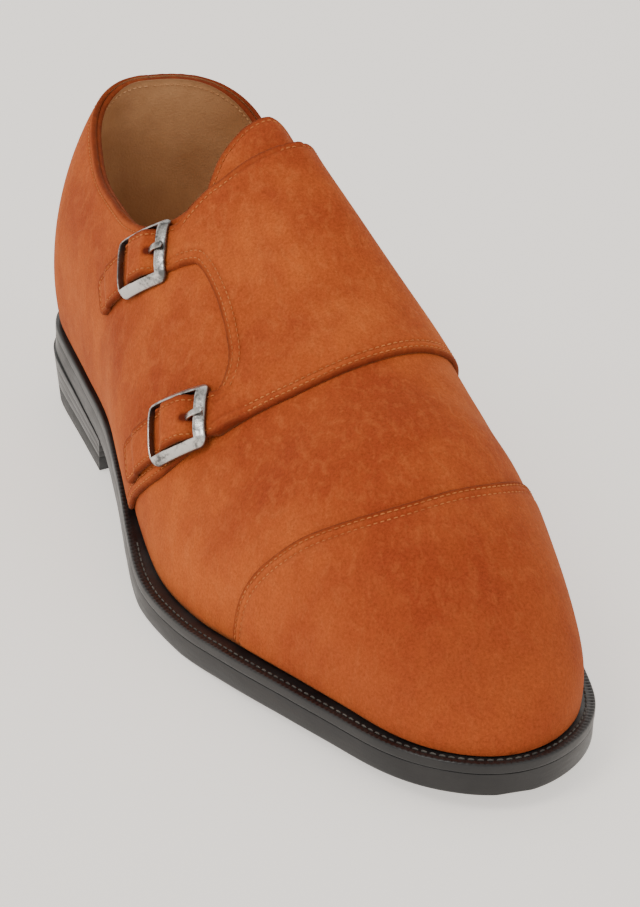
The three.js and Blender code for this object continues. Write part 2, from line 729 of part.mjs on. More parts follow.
// Points round the centre bar, from one angle to another, in degrees.
const LOOP_RADIUS = CENTRE_BAR_RADIUS + BAR_CLEARANCE + TAB_THICKNESS / 2;
function roundBar(from, to, step) {
  const points = [];
  const count = Math.round(Math.abs(to - from) / step);
  for (let i = 0; i <= count; i++) {
    const angle = THREE.MathUtils.degToRad(between(from, to, i / count));
    points.push([LOOP_RADIUS * Math.cos(angle), BAR_HEIGHT + LOOP_RADIUS * Math.sin(angle)]);
  }
  return points;
}

function buckleTab(frame) {
  const flat = LOW + TAB_THICKNESS / 2;
  const strip = [TAB_END, 16, 12, 8, 4].map((a) => [a, flat]);
  const tab = bandAcross(frame, [...strip, ...roundBar(-90, -300, 30)], TAB_WIDTH, TAB_THICKNESS);
  return difference(tab, cutter(frame, -4, 3, TAB_SLOT));
}

// The prong's way up through the strap and over the frame's front bar, as points [a, height].
const PRONG_PATH = [[-3.2, 4.6], [-5, 5], [-7, 5.9], [-9.5, 6.25], [-11.9, 6.1]];

function buckleProng(frame) {
  const path = [...roundBar(-150, 90, 30), ...PRONG_PATH];
  return bandAcross(frame, path, PRONG_WIDTH, TAB_THICKNESS);
}

function buckleFrame(frame) {
  const halfLength = (BUCKLE_LENGTH - BUCKLE_BAR) / 2;
  const halfWidth = (BUCKLE_WIDTH - BUCKLE_BAR) / 2;
  const corner = BUCKLE_CORNER;
  const path = [];
  const corners = [[1, 1, 0], [-1, 1, 90], [-1, -1, 180], [1, -1, 270]];
  corners.forEach(([signA, signB, start], k) => {
    const centre = [signA * (halfLength - corner), signB * (halfWidth - corner)];
    for (let i = 0; i <= 3; i++) {
      const angle = THREE.MathUtils.degToRad(start + i * 30);
      const out = [Math.cos(angle), Math.sin(angle)];
      path.push({ at: [centre[0] + corner * out[0], centre[1] + corner * out[1]], out });
    }
    const end = path[path.length - 1];
    const [nextA, nextB, nextStart] = corners[(k + 1) % 4];
    const nextAngle = THREE.MathUtils.degToRad(nextStart);
    const next = [
      nextA * (halfLength - corner) + corner * Math.cos(nextAngle),
      nextB * (halfWidth - corner) + corner * Math.sin(nextAngle),
    ];
    for (const share of [0.25, 0.5, 0.75]) {
      const at = [between(end.at[0], next[0], share), between(end.at[1], next[1], share)];
      path.push({ at, out: end.out });
    }
  });
  const rings = path.map(({ at, out }) => {
    const base = between(LOW + OVERLAY + GAP, OVER_TAB + OVERLAY + GAP, (at[0] + halfLength) /
      (2 * halfLength));
    const half = BUCKLE_BAR / 2;
    const place = (side, height) => frame.bend(at[0] + side * out[0], at[1] + side * out[1],
      base + height);
    const top = BUCKLE_THICKNESS;
    const bevel = BUCKLE_BEVEL;
    return [place(-half, 0), place(half, 0), place(half, top - bevel), place(half - bevel, top),
      place(bevel - half, top), place(-half, top - bevel)];
  });
  const barEnds = [-1, -0.5, 0, 0.5, 1].map((share) => {
    const ring = [];
    for (let k = 0; k < 8; k++) {
      const angle = (k + 0.5) * Math.PI / 4;
      ring.push(frame.bend(CENTRE_BAR_RADIUS * Math.cos(angle), share * halfWidth,
        BAR_HEIGHT + CENTRE_BAR_RADIUS * Math.sin(angle)));
    }
    return ring;
  });
  return union(solidThrough(rings, true), solidThrough(barEnds));
}

// ---------------------------------------------------------------- the shoe

const finish = (color, roughness, metalness = 0) => ({ color, roughness, metalness });
const SUEDE = finish(0xb5592a, 0.95);
const LINING = finish(0xc58a5c, 0.7);
const BLACK_LEATHER = finish(0x17161a, 0.5);
const BLACK_RUBBER = finish(0x121214, 0.7);
const INNER_LEATHER = finish(0xc09468, 0.7);
const SILVER = finish(0xa9a8a4, 0.35, 1);

const shoe = new THREE.Group();

function add(name, geometry, look) {
  const mesh = new THREE.Mesh(geometry, new THREE.MeshStandardMaterial(look));
  mesh.name = name;
  shoe.add(mesh);
}

add("outsole", outsole(), BLACK_LEATHER);
add("welt", welt(), BLACK_LEATHER);
add("seat_rand", seatRand(), BLACK_LEATHER);
add("heel_stack", heelStack(), BLACK_LEATHER);
add("top_piece", topPiece(), BLACK_RUBBER);
add("insole", insole(), INNER_LEATHER);
add("upper", upper(), SUEDE);
add("tongue", tongue(), SUEDE);
add("toe_cap", toeCap(), SUEDE);
add("lateral_quarter", lateralQuarter(), SUEDE);
add("strap_quarter", strapQuarter(), SUEDE);
for (const place of ["upper", "lower"]) {
  add(`buckle_tab_${place}`, buckleTab(frames[place]), LINING);
  add(`buckle_frame_${place}`, buckleFrame(frames[place]), SILVER);
  add(`buckle_prong_${place}`, buckleProng(frames[place]), SILVER);
}

// The origin is the middle of the shoe's box, on the floor.
const box = new THREE.Box3().setFromObject(shoe);
shoe.position.set(-(box.min.x + box.max.x) / 2, -(box.min.y + box.max.y) / 2, -box.min.z);

export default shoe;
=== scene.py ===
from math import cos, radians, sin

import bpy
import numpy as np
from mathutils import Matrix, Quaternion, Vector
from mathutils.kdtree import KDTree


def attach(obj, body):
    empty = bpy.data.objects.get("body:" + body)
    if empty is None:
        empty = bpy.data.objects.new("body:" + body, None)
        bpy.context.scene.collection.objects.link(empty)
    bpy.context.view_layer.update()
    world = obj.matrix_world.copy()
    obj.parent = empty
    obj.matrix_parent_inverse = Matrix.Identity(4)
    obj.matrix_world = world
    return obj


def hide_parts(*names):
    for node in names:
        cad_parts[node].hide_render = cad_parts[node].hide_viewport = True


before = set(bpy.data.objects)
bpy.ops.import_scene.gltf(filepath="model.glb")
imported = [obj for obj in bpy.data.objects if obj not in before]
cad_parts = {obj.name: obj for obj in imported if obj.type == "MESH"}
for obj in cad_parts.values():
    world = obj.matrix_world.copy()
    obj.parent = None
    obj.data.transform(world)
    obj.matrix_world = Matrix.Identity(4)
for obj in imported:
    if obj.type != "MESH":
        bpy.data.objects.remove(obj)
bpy.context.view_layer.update()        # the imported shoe, in metres: +X toe, +Y inner side of the foot, +Z up

# Looks of a double monk strap shoe for the right foot. The upper's shape is one function of a
# station x, in millimetres from the back of the heel, and of a share v, from the ridge (0) down
# to the feather edge of the medial side (1) or of the lateral side (-1). Panels are sheets of
# such points [x, v] at some height above the wall.

# ---------------- sizes, in millimetres

LAST_LENGTH = 290
SKIN_GAP = 0.42
HEEL_ROUND_LENGTH, HEEL_SQUARENESS = 31, 2.7
TOE_ROUND_START, TOE_SQUARENESS = 257, 2.9
CROWN_ROUND_START, CROWN_SQUARENESS = 249, 2.4
FOREPART_START = 150
HEEL_CURVE_HEIGHT, HEEL_CURVE_FOOT = 20, 3.6
HEEL_CURVE_TOP, HEEL_CURVE_RISE = 4, 42

WALL = 1.8
OVERLAY = 1.2
REAR_INSET, INSET_FADE = 1.2, 45
SUNK = 0.05  # panels reach down this close to the wall
FEATHER_SHARE = 0.985

WELT_THICKNESS = 2.9
OUTSOLE_THICKNESS = 6
FEATHER_OVERLAP = 2.8
STRIP_JOIN = 80
GAP = 0.3
JOINT = 0.1  # between the layers of the sole, as seen
BREAST_X, BREAST_SLANT, BREAST_CURVE = 76, 7, 4
TOP_PIECE_THICKNESS = 6
HEEL_TAPER = 2

SECTION_COLUMNS = ("x", "feather", "medial", "lateral", "ridge", "shift", "lean_medial",
                   "lean_lateral", "side", "crown")
SECTIONS = (
    (0, 28.2, 33.5, 30, 113, 5.5, 0.39, 0.25, 0.52, 0.78),
    (30, 25.7, 31.5, 33, 113, 5.5, 0.3, 0.22, 0.48, 0.76),
    (60, 23.8, 26.5, 35, 118.5, 5.2, 0.23, 0.25, 0.44, 0.76),
    (90, 22, 18, 37.5, 123, 5, 0.29, 0.3, 0.41, 0.71),
    (115, 18.1, 17.3, 41.8, 116.8, 5.9, 0.33, 0.31, 0.38, 0.59),
    (140, 12.8, 26.3, 46, 104, 9.5, 0.26, 0.26, 0.38, 0.59),
    (165, 9.4, 38.4, 48, 88, 13.5, 0.19, 0.19, 0.4, 0.6),
    (190, 9.4, 43.8, 45, 77.2, 12, 0.13, 0.14, 0.44, 0.63),
    (215, 11.5, 43.5, 39, 70, 10.4, 0.12, 0.12, 0.52, 0.66),
    (240, 13.1, 40.4, 31, 57.8, 9.6, 0.12, 0.12, 0.57, 0.67),
    (265, 13.8, 35, 22.3, 44.4, 9.3, 0.13, 0.11, 0.6, 0.68),
    (290, 14.8, 27, 17, 34, 8, 0.13, 0.11, 0.6, 0.69),
)
SOLE_MARGIN = ((0, 2), (60, 2), (90, 2.1), (130, 2.3), (170, 5.1), (300, 5.1))
COLLAR = (  # x, medial height, lateral height
    (0, 100, 100), (20, 91, 92), (45, 82.8, 84.5), (65, 82.2, 83), (85, 89.2, 83.8),
    (100, 100.5, 89), (107, 108.3, 95.5), (111, 112.7, 102.8), (113.5, 115.2, 110),
    (115, 116.8, 116.8),
)
THROAT_X = 115
CAP_EDGE = ((-1, 209), (-0.8, 211.5), (-0.6, 220), (-0.4, 228.5), (-0.2, 233), (0, 233),
            (0.2, 230), (0.4, 223), (0.6, 214.5), (0.8, 207.5), (1, 204))
CAP_FACE, CAP_SWELL, CAP_SWELL_WIDTH = 0.95, 0.45, 8
TONGUE_HALF = ((97.5, 0.09), (98.7, 0.17), (102, 0.25), (110, 0.31), (160, 0.28))
TONGUE_MIDDLE, TONGUE_END = -0.06, 150
TONGUE_DEPTH, TONGUE_THICKNESS = 2.5, 1.4

# Edges of the quarters from the waist forwards: top x and v, bottom x and v. No v: the collar.
STRAP_QUARTER_EDGES = (
    (71, None, 73, 0.968), (80, None, 88, 0.915), (90, None, 105, 0.862),
    (99, None, 121, 0.811), (105.5, None, 136, 0.762), (109.5, None, 147.5, 0.708),
    (112, None, 158.3, 0.622), (113.8, None, 166.8, 0.504), (114.6, None, 174.3, 0.362),
    (115, 0, 180.6, 0.196), (114.8, -0.11, 184, 0.02), (113.7, -0.2, 184.6, -0.12),
    (112, -0.285, 182.6, -0.27), (110, -0.345, 177.5, -0.405),
)
NOTCH = ((121.3, -0.456), (126.5, -0.424), (140, -0.414), (153.5, -0.434), (158.3, -0.462))
LATERAL_QUARTER_EDGES = (
    (71, None, 71, -0.985), (85, None, 88, -0.985), (98, None, 104, -0.985),
    (106, None, 119, -0.985), (111, None, 133, -0.985), (121, -0.33, 141.5, -0.9),
    (134, -0.345, 149, -0.825), (147, -0.37, 156.5, -0.745), (156, -0.43, 162.5, -0.655),
    (161.5, -0.5, 165.5, -0.58),
)
QUARTER_START = 71

BUCKLES = {
    "upper": {"x": 103, "v": -0.546, "slope": 44, "reach": 29},
    "lower": {"x": 155.7, "v": -0.625, "slope": 47, "reach": 31},
}
STRAP_WIDTH, STRAP_ROOT = 14, -14
BUCKLE_LENGTH, BUCKLE_WIDTH, BUCKLE_BAR = 21.5, 19.8, 2.5
BUCKLE_CORNER, BUCKLE_ARCH = 1.4, 1.2
CENTRE_BAR_RADIUS, BAR_CLEARANCE = 0.8, 0.25
TAB_WIDTH, TAB_THICKNESS, TAB_END = 12, 0.6, 20
FACE = SKIN_GAP + OVERLAY  # height of the quarters' face over the wall
LOW = FACE + SKIN_GAP
OVER_TAB = LOW + TAB_THICKNESS + GAP
BAR_HEIGHT = LOW + TAB_THICKNESS + BAR_CLEARANCE + CENTRE_BAR_RADIUS
OVER_BAR = BAR_HEIGHT + CENTRE_BAR_RADIUS + BAR_CLEARANCE + TAB_THICKNESS + GAP
STRAP_RISE = ((STRAP_ROOT, LOW), (-8, LOW), (-2.6, OVER_BAR), (2.6, OVER_BAR),
              (7.5, OVER_TAB), (TAB_END + 1, OVER_TAB), (TAB_END + 4, LOW), (40, LOW))

# ---------------- the last


def ease(t):
    t = np.clip(t, 0, 1)
    return t * t * (3 - 2 * t)


def curve_through(points):
    """A smooth curve through points [x, y], with no overshoot at its ends."""
    xs, ys = np.array(points, float).T
    steps = np.diff(xs)
    slopes = np.diff(ys) / steps
    inner = (slopes[:-1] * steps[1:] + slopes[1:] * steps[:-1]) / (steps[:-1] + steps[1:])
    tangents = np.concatenate([slopes[:1], inner, slopes[-1:]])

    def curve(at):
        x = np.clip(at, xs[0], xs[-1])
        i = np.clip(np.searchsorted(xs, x) - 1, 0, len(xs) - 2)
        t = (x - xs[i]) / steps[i]
        lift = steps[i] * t * (1 - t) * ((1 - t) * tangents[i] - t * tangents[i + 1])
        return ys[i] + ease(t) * (ys[i + 1] - ys[i]) + lift

    return curve


LAST = {name: curve_through([(row[0], row[k]) for row in SECTIONS])
        for k, name in enumerate(SECTION_COLUMNS) if k}
collar_height = {1: curve_through([(row[0], row[1]) for row in COLLAR]),
                 -1: curve_through([(row[0], row[2]) for row in COLLAR])}
sole_margin = curve_through(SOLE_MARGIN)
cap_edge = curve_through(CAP_EDGE)
tongue_half = curve_through(TONGUE_HALF)


def bezier(a, b, c, d, t):
    s = 1 - t
    return a * s**3 + 3 * b * s * s * t + 3 * c * s * t * t + d * t**3


def plan_rounding(x):
    toe = np.clip((x - TOE_ROUND_START) / (LAST_LENGTH - TOE_ROUND_START), 0, 1)
    heel = np.clip(1 - x / HEEL_ROUND_LENGTH, 0, 1)
    return (np.sqrt(1 - toe**TOE_SQUARENESS)
            * (1 - heel**HEEL_SQUARENESS) ** (1 / HEEL_SQUARENESS))


def crown_rounding(x):
    toe = np.clip((x - CROWN_ROUND_START) / (LAST_LENGTH - CROWN_ROUND_START), 0, 1)
    return np.sqrt(1 - toe**CROWN_SQUARENESS)


def back_curve(height):
    """How far the heel's back lies forward at a height above the feather edge."""
    foot = HEEL_CURVE_FOOT * (1 - height / HEEL_CURVE_HEIGHT) ** 2
    above = np.maximum(height - HEEL_CURVE_HEIGHT, 0) / HEEL_CURVE_RISE
    return np.where(height < HEEL_CURVE_HEIGHT, foot, HEEL_CURVE_TOP * above**1.6)


def last_point(x, v):
    x, v = np.broadcast_arrays(np.asarray(x, float), np.asarray(v, float))
    medial = v >= 0
    side = np.where(medial, 1.0, -1.0)
    t = 1 - np.abs(v)
    shift, feather = LAST["shift"](x), LAST["feather"](x)
    half_medial, half_lateral = LAST["medial"](x), LAST["lateral"](x)
    height = LAST["ridge"](x) - feather
    width = np.where(medial, half_medial, half_lateral) - side * shift
    lean = np.where(medial, LAST["lean_medial"](x), LAST["lean_lateral"](x))
    full = LAST["side"](x) * height
    crown = LAST["crown"](x) * (half_medial + half_lateral) / 2
    out = bezier(width, width + lean * full, crown, 0, t)
    rise = bezier(0, full, height, height, t) * crown_rounding(x)
    middle = np.where(x > FOREPART_START, (half_medial - half_lateral) / 2, 0)
    heel_share = np.clip(1 - x / HEEL_ROUND_LENGTH, 0, 1) ** 2
    return np.stack([
        x + heel_share * back_curve(rise),
        middle + (shift + side * out - middle) * plan_rounding(x),
        feather + rise,
    ], -1)


def unit(vectors):
    return vectors / np.maximum(np.linalg.norm(vectors, axis=-1, keepdims=True), 1e-12)


def last_slopes(x, v):
    """How the last's surface moves with x and with v."""
    dx = 0.2 * np.clip(np.minimum(x, LAST_LENGTH - x), 0.01, 2)
    dv = 0.004
    mid = np.clip(v, -1 + dv, 1 - dv)
    along = (last_point(x + dx, v) - last_point(x - dx, v)) / (2 * dx)[..., None]
    across = (last_point(x, mid + dv) - last_point(x, mid - dv)) / (2 * dv)
    return along, across


def last_normal(x, v):
    x, v = np.broadcast_arrays(np.asarray(x, float), np.asarray(v, float))
    along, across = last_slopes(x, v)
    normal = unit(np.cross(along, across))
    down = last_point(0 * x, np.abs(v) + 0.004) - last_point(0 * x, np.abs(v) - 0.004)
    back = unit(np.stack([down[..., 2], 0 * x, -down[..., 0]], -1))
    normal = np.where((x < 0.01)[..., None], back, normal)
    return np.where((x > LAST_LENGTH - 0.01)[..., None], np.array([1.0, 0, 0]), normal)


def wall_inset(x):
    return REAR_INSET * (1 - ease((x - FOREPART_START) / INSET_FADE))


# Soft troughs (negative) and swells of the worn-in upper: x, v, length along x, width along v,
# turn in millimetres of x per unit of v, and height.
SOFT_FORMS = (
    (196, 0.1, 4.5, 0.5, 10, -0.28),
    (187, -0.25, 5, 0.35, -6, -0.2),
    (204, 0.35, 5, 0.35, 16, -0.22),
    (216, -0.1, 9, 0.5, 0, 0.2),
    (150, 0.35, 14, 0.3, 30, 0.3),
    (132, 0.5, 7, 0.25, 40, -0.3),
    (48, -0.62, 26, 0.24, 20, 1.3),
    (88, -0.8, 12, 0.12, 0, -0.3),
    (50, 0.75, 12, 0.14, 0, 0.3),
    (98, 0.7, 9, 0.18, 30, -0.35),
)


def softness(x, v):
    """The height that creases and slack add to every layer."""
    height = 0 * x + 0 * v
    for at_x, at_v, length, width, turn, rise in SOFT_FORMS:
        along = (x - at_x - turn * (v - at_v)) / length
        height = height + rise * np.exp(-along**2 - ((v - at_v) / width) ** 2)
    slack = 0.12 * np.sin(x / 9 + 5 * v) * np.sin(7 * v - x / 23)
    fade = ease((1 - np.abs(v)) / 0.12) * ease((x - 8) / 20) * ease((LAST_LENGTH - 8 - x) / 25)
    return (height + slack) * fade


def on_wall(x, v, height=0.0):
    x, v = np.asarray(x, float), np.asarray(v, float)
    offset = height + softness(x, v) - wall_inset(x)
    return last_point(x, v) + last_normal(x, v) * np.asarray(offset)[..., None]


def collar_share(x, side, drop=0.0):
    """The share v at which the collar edge, or a line some way below it, crosses station x."""
    x = np.asarray(x, float)
    low, high = np.zeros_like(x), np.ones_like(x)
    for _ in range(40):
        middle = (low + high) / 2
        above = last_point(x, side * middle)[..., 2] > collar_height[side](x) - drop
        low, high = np.where(above, middle, low), np.where(above, high, middle)
    return np.where(x >= THROAT_X, 0, side * high)


def feather_plan(x, side, grow):
    """The feather edge moved outwards by some mm, in plan."""
    x, grow = np.broadcast_arrays(np.asarray(x, float), np.asarray(grow, float))
    at = last_point(x, side)[..., :2]
    dx = 0.2 * np.clip(np.minimum(x, LAST_LENGTH - x), 0.01, 2)
    run = last_point(x + dx, side) - last_point(x - dx, side)
    outward = unit(np.stack([-side * run[..., 1], side * run[..., 0]], -1))
    ends = np.where(x < LAST_LENGTH / 2, -1.0, 1.0)
    at_end = (x < 0.01) | (x > LAST_LENGTH - 0.01)
    outward = np.where(at_end[..., None], np.stack([ends, 0 * x], -1), outward)
    return at + grow[..., None] * outward


# ---------------- stations, lines and edges

DENSE = LAST_LENGTH * (1 - np.cos(np.pi * np.linspace(0, 1, 6001))) / 2


def walked(points):
    """How far along a line each of its points lies."""
    steps = np.linalg.norm(np.diff(points, axis=0), axis=1)
    return np.concatenate([[0], np.cumsum(steps)])


def values_at(distances, along, values):
    """Rows of values that go with the places on a line, at some distances along it."""
    return np.stack([np.interp(distances, along, column) for column in values.T], -1)


WALK = (walked(last_point(DENSE, 0.75)) + walked(last_point(DENSE, -0.75))) / 2


def stations(start, end, step):
    """Stations about a step apart, as measured round the side of the last."""
    first, final = np.interp([start, end], DENSE, WALK)
    count = int(np.ceil((final - first) / step)) + 1
    x = np.interp(np.linspace(first, final, count), WALK, DENSE)
    x[0], x[-1] = start, end
    return x


# Distances from a cut edge at which a panel has rows of points.
NEAR = np.array([0, 0.12, 0.3, 0.55, 0.9, 1.3, 1.7, 2.1, 2.5, 3, 3.5, 4, 4.5, 5.2, 6])


def spread(length, steps, at_start=True, at_end=True):
    """Shares 0 to 1 along lines of some lengths, close together near their cut ends."""
    length = np.atleast_1d(np.asarray(length, float))[:, None]
    close = NEAR * np.minimum(1, 0.4 * length / NEAR[-1]) / length
    low = close if at_start else 0 * length
    high = 1 - close[:, ::-1] if at_end else 0 * length + 1
    t = np.linspace(0, 1, steps + 2)[1:-1]
    middle = low[:, -1:] + (high[:, :1] - low[:, -1:]) * t
    return np.concatenate([low, middle, high], 1)


def resample(line, step):
    """Points [x, v] on a line, about a step apart on the wall."""
    line = np.asarray(line, float)
    along = walked(on_wall(line[:, 0], line[:, 1]))
    at = np.linspace(0, along[-1], max(2, int(along[-1] / step) + 1))
    return values_at(at, along, line)


def surface_steps(x, v, direction):
    """The steps [dx, dv] that go one millimetre in a direction along the surface."""
    along, across = last_slopes(x, v)
    aa, ab, bb = ((p * q).sum(-1) for p, q in ((along, along), (along, across), (across, across)))
    da, db = (direction * along).sum(-1), (direction * across).sum(-1)
    scale = aa * bb - ab * ab
    return np.stack([(bb * da - ab * db) / scale, (aa * db - ab * da) / scale], -1)


def move_in(line, inset, side):
    """A line of points [x, v] moved sideways over the surface, to its left for side 1."""
    x, v = line.T
    run = np.gradient(on_wall(x, v), axis=0)
    inward = side * unit(np.cross(last_normal(x, v), unit(run)))
    return line + inset * surface_steps(x, v, inward)


class Edge:
    """A cut edge of a panel, a line of points [x, v], with rows of stitches along it."""

    def __init__(self, line, rows=(), radius=0.8, drop=0.75, mark=1.0):
        self.line = resample(line, 0.25)
        self.rows, self.radius, self.drop, self.mark = rows, radius, drop, mark
        points = on_wall(*self.line.T)
        self.tree = KDTree(len(points))
        for i, point in enumerate(points):
            self.tree.insert(point, i)
        self.tree.balance()

    def distance(self, points):
        found = [self.tree.find(point)[2] for point in points.reshape(-1, 3)]
        return np.reshape(found, points.shape[:-1])


GROOVE_DEPTH, GROOVE_WIDTH = 0.28, 0.5


def cut_edges(points, edges):
    """How much lower a panel's face lies near its edges and under its stitches, and how close
    each point is to a seam, from 0 to 1; the stitch grooves and the prong holes add painted shade to it."""
    lower = np.zeros(points.shape[:-1])
    grooves = np.zeros_like(lower)
    seam = np.zeros_like(lower)
    for edge in edges:
        d = edge.distance(points)
        t = np.clip(d / edge.radius, 0, 1)
        lower = np.maximum(lower, edge.drop * (1 - np.sqrt(1 - (1 - t) ** 2)))
        seam = np.maximum(seam, edge.mark * np.exp(-((d / 1.1) ** 2)))
        for row in edge.rows:
            groove = np.exp(-(((d - row) / GROOVE_WIDTH) ** 2))
            grooves = np.maximum(grooves, groove)
            # Painted shade in the stitch groove.
            seam = np.maximum(seam, 0.35 * groove)
    return lower + GROOVE_DEPTH * grooves, seam


# ---------------- meshes

MATERIALS = {}
heel_point = min((vertex.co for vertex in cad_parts["outsole"].data.vertices),
                 key=lambda co: co.x)
# The last's origin in the row frame: the sole's back lies a welt's margin behind the feather.
ORIGIN = np.array([heel_point.x * 1000 - HEEL_CURVE_FOOT + SOLE_MARGIN[0][1],
                   heel_point.y * 1000, 0])


def add_piece(name, skin, looks, node=None, face_looks=None, seam=None, sharp=None):
    """Makes a piece of the shoe from its points and faces, in millimetres in the last's frame."""
    points, faces = skin
    mesh = bpy.data.meshes.new(name)
    mesh.from_pydata(((points + ORIGIN) / 1000).tolist(), [], faces)
    for look in looks:
        mesh.materials.append(MATERIALS[look])
    mesh.polygons.foreach_set("use_smooth", np.ones(len(mesh.polygons), bool))
    if face_looks is not None:
        mesh.polygons.foreach_set("material_index", face_looks)
    if seam is not None:
        mesh.attributes.new("seam", "FLOAT", "POINT").data.foreach_set("value", seam)
    if sharp is not None:
        mesh.set_sharp_from_angle(angle=radians(sharp))
    mesh.update()
    piece = bpy.data.objects.new(name, mesh)
    bpy.context.scene.collection.objects.link(piece)
    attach(piece, "root")
    if node:
        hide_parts(node)


WELD = 0.002  # places closer than this are one


def shell(sheets, outer, inner, seams):
    """The closed skin between two copies of some sheets of parameters, which join where their
    places agree. Returns its points and faces, which faces are inside, and the seams."""
    quads, start = [], 0
    for sheet, top, bottom in zip(sheets, outer, inner):
        rows, columns = sheet.shape[:2]
        grid = start + np.arange(rows * columns).reshape(rows, columns)
        faces = np.stack([grid[:-1, :-1], grid[1:, :-1], grid[1:, 1:], grid[:-1, 1:]], -1)
        across = np.cross(top[1:, 1:] - top[:-1, :-1], top[:-1, 1:] - top[1:, :-1])
        if (across * (top - bottom)[:-1, :-1]).sum() < 0:
            faces = faces[..., ::-1]
        quads.append(faces.reshape(-1, 4))
        start += rows * columns
    tops, bottoms = (np.concatenate([p.reshape(-1, 3) for p in part]) for part in (outer, inner))
    marks = np.concatenate([seam.reshape(-1) for seam in seams])
    keys = np.round(tops / WELD + 0.137).astype(np.int64)
    _, first, same = np.unique(keys, axis=0, return_index=True, return_inverse=True)
    quads = same.reshape(-1)[np.concatenate(quads)]
    tops, bottoms, marks = tops[first], bottoms[first], marks[first]
    count = len(tops)
    outers = []
    for quad in quads.tolist():
        corners = [c for k, c in enumerate(quad) if c != quad[k - 1]]
        if len(set(corners)) == len(corners) > 2:
            outers.append(corners)
    runs = {(face[k - 1], face[k]) for face in outers for k in range(len(face))}
    rims = [[b, a, a + count, b + count] for a, b in sorted(runs) if (b, a) not in runs]
    inners = [[c + count for c in reversed(face)] for face in outers]
    inside = [0] * len(outers) + [1] * len(inners) + [0] * len(rims)
    skin = np.concatenate([tops, bottoms]), outers + inners + rims
    return skin, inside, np.concatenate([marks, marks])


def panel(name, sheets, edges, node):
    """A leather panel. Its sheets hold [x, v, height of its face, height of its underside]."""
    outer, inner, seams = [], [], []
    for sheet in sheets:
        x, v, face, under = np.moveaxis(sheet, -1, 0)
        lower, seam = cut_edges(on_wall(x, v), edges)
        lower = np.minimum(lower, 0.8 * (face - under))
        outer.append(on_wall(x, v, face - lower))
        inner.append(on_wall(x, v, under))
        seams.append(seam)
    skin, inside, seam = shell(sheets, outer, inner, seams)
    add_piece(name, skin, ["suede", "lining"], node, inside, seam)


def tube(rings, looped=False):
    """Faces and points through rings of points, with flat ends or joined into a loop."""
    count, size = rings.shape[:2]
    grid = np.arange(count * size).reshape(count, size)
    following = np.roll(grid, -1, axis=0) if looped else grid[1:]
    current = grid if looped else grid[:-1]
    turn = lambda ring: np.roll(ring, -1, axis=1)
    faces = np.stack([current, turn(current), turn(following), following], -1)
    faces = faces.reshape(-1, 4).tolist()
    if not looped:
        faces += [grid[0][::-1].tolist(), grid[-1].tolist()]
    points = rings.reshape(-1, 3)
    middle, volume = points.mean(0), 0
    for face in faces:
        corners = points[face] - middle
        volume += (np.cross(corners[1:-1], corners[2:]) @ corners[0]).sum()
    return points, [face[::-1] for face in faces] if volume < 0 else faces


# ---------------- stitches

THREAD = 0.24
PITCH, STITCH_SHARE = 1.85, 0.7
DOUBLE_ROW, SINGLE_ROW, STRAP_ROW = (1.5, 3.7), (2.3,), (1.7,)  # distances from the edge
CAP_ROWS, TONGUE_ROW = (1.3, 3.6), (2.2,)
STITCH_DEPTH = GROOVE_DEPTH - 0.1  # of a stitch under the face beside its groove
STITCH_SAG = 0.5  # how far a stitch's middle stands over its ends, in thread radii
STITCH_SIDES = 6
STITCH_RINGS = np.array([0.04, 0.18, 0.5, 0.82, 0.96])


def add_stitches(name, lines, look="thread", radius=THREAD):
    """One piece of many stitches. A line has their starts, their ends and the normals there."""
    starts, ends, normals = (np.concatenate(parts) for parts in zip(*lines))
    run = ends - starts
    sideways = np.cross(normals, unit(run))
    angles = 2 * np.pi * np.arange(STITCH_SIDES) / STITCH_SIDES
    along = STITCH_RINGS[:, None]
    bow = 1 - (2 * along - 1) ** 2
    thick = bow**0.3
    # Places on one stitch: share of its run, then sideways and up in thread radii.
    places = np.stack(np.broadcast_arrays(
        along, thick * np.cos(angles), thick * np.sin(angles) + STITCH_SAG * (bow - 0.4)), -1)
    places = np.concatenate([places.reshape(-1, 3), [(0, 0, 0), (1, 0, 0)]])[:, :, None]
    points = (starts[:, None] + places[:, 0] * run[:, None]
              + radius * (places[:, 1] * sideways[:, None] + places[:, 2] * normals[:, None]))
    size = STITCH_SIDES * len(STITCH_RINGS)
    tail = size - STITCH_SIDES
    faces = []
    for a in range(STITCH_SIDES):
        b = (a + 1) % STITCH_SIDES
        faces += [[a + r, b + r, b + r + STITCH_SIDES, a + r + STITCH_SIDES]
                  for r in range(0, tail, STITCH_SIDES)]
        faces += [[size, b, a], [size + 1, tail + a, tail + b]]
    every = [[first + c for c in face] for first in range(0, len(starts) * (size + 2), size + 2)
             for face in faces]
    add_piece(name, (points.reshape(-1, 3), every), [look])


def stitch_line(line, height):
    """Starts, ends and normals of the stitches along a line of points [x, v]."""
    x, v = resample(line, 0.3).T
    points = on_wall(x, v, height(x, v) if callable(height) else height)
    along = walked(points)
    starts = np.arange(0.5 * PITCH, along[-1] - PITCH, PITCH)
    ends = starts + STITCH_SHARE * PITCH
    return (values_at(starts, along, points), values_at(ends, along, points),
            unit(values_at((starts + ends) / 2, along, last_normal(x, v))))


def edge_rows(edge, height, side):
    """The stitches of all rows along an edge."""
    sunk = lambda x, v: (height(x, v) if callable(height) else height) - STITCH_DEPTH
    return [stitch_line(move_in(edge.line, row, side), sunk) for row in edge.rows]


# ---------------- materials


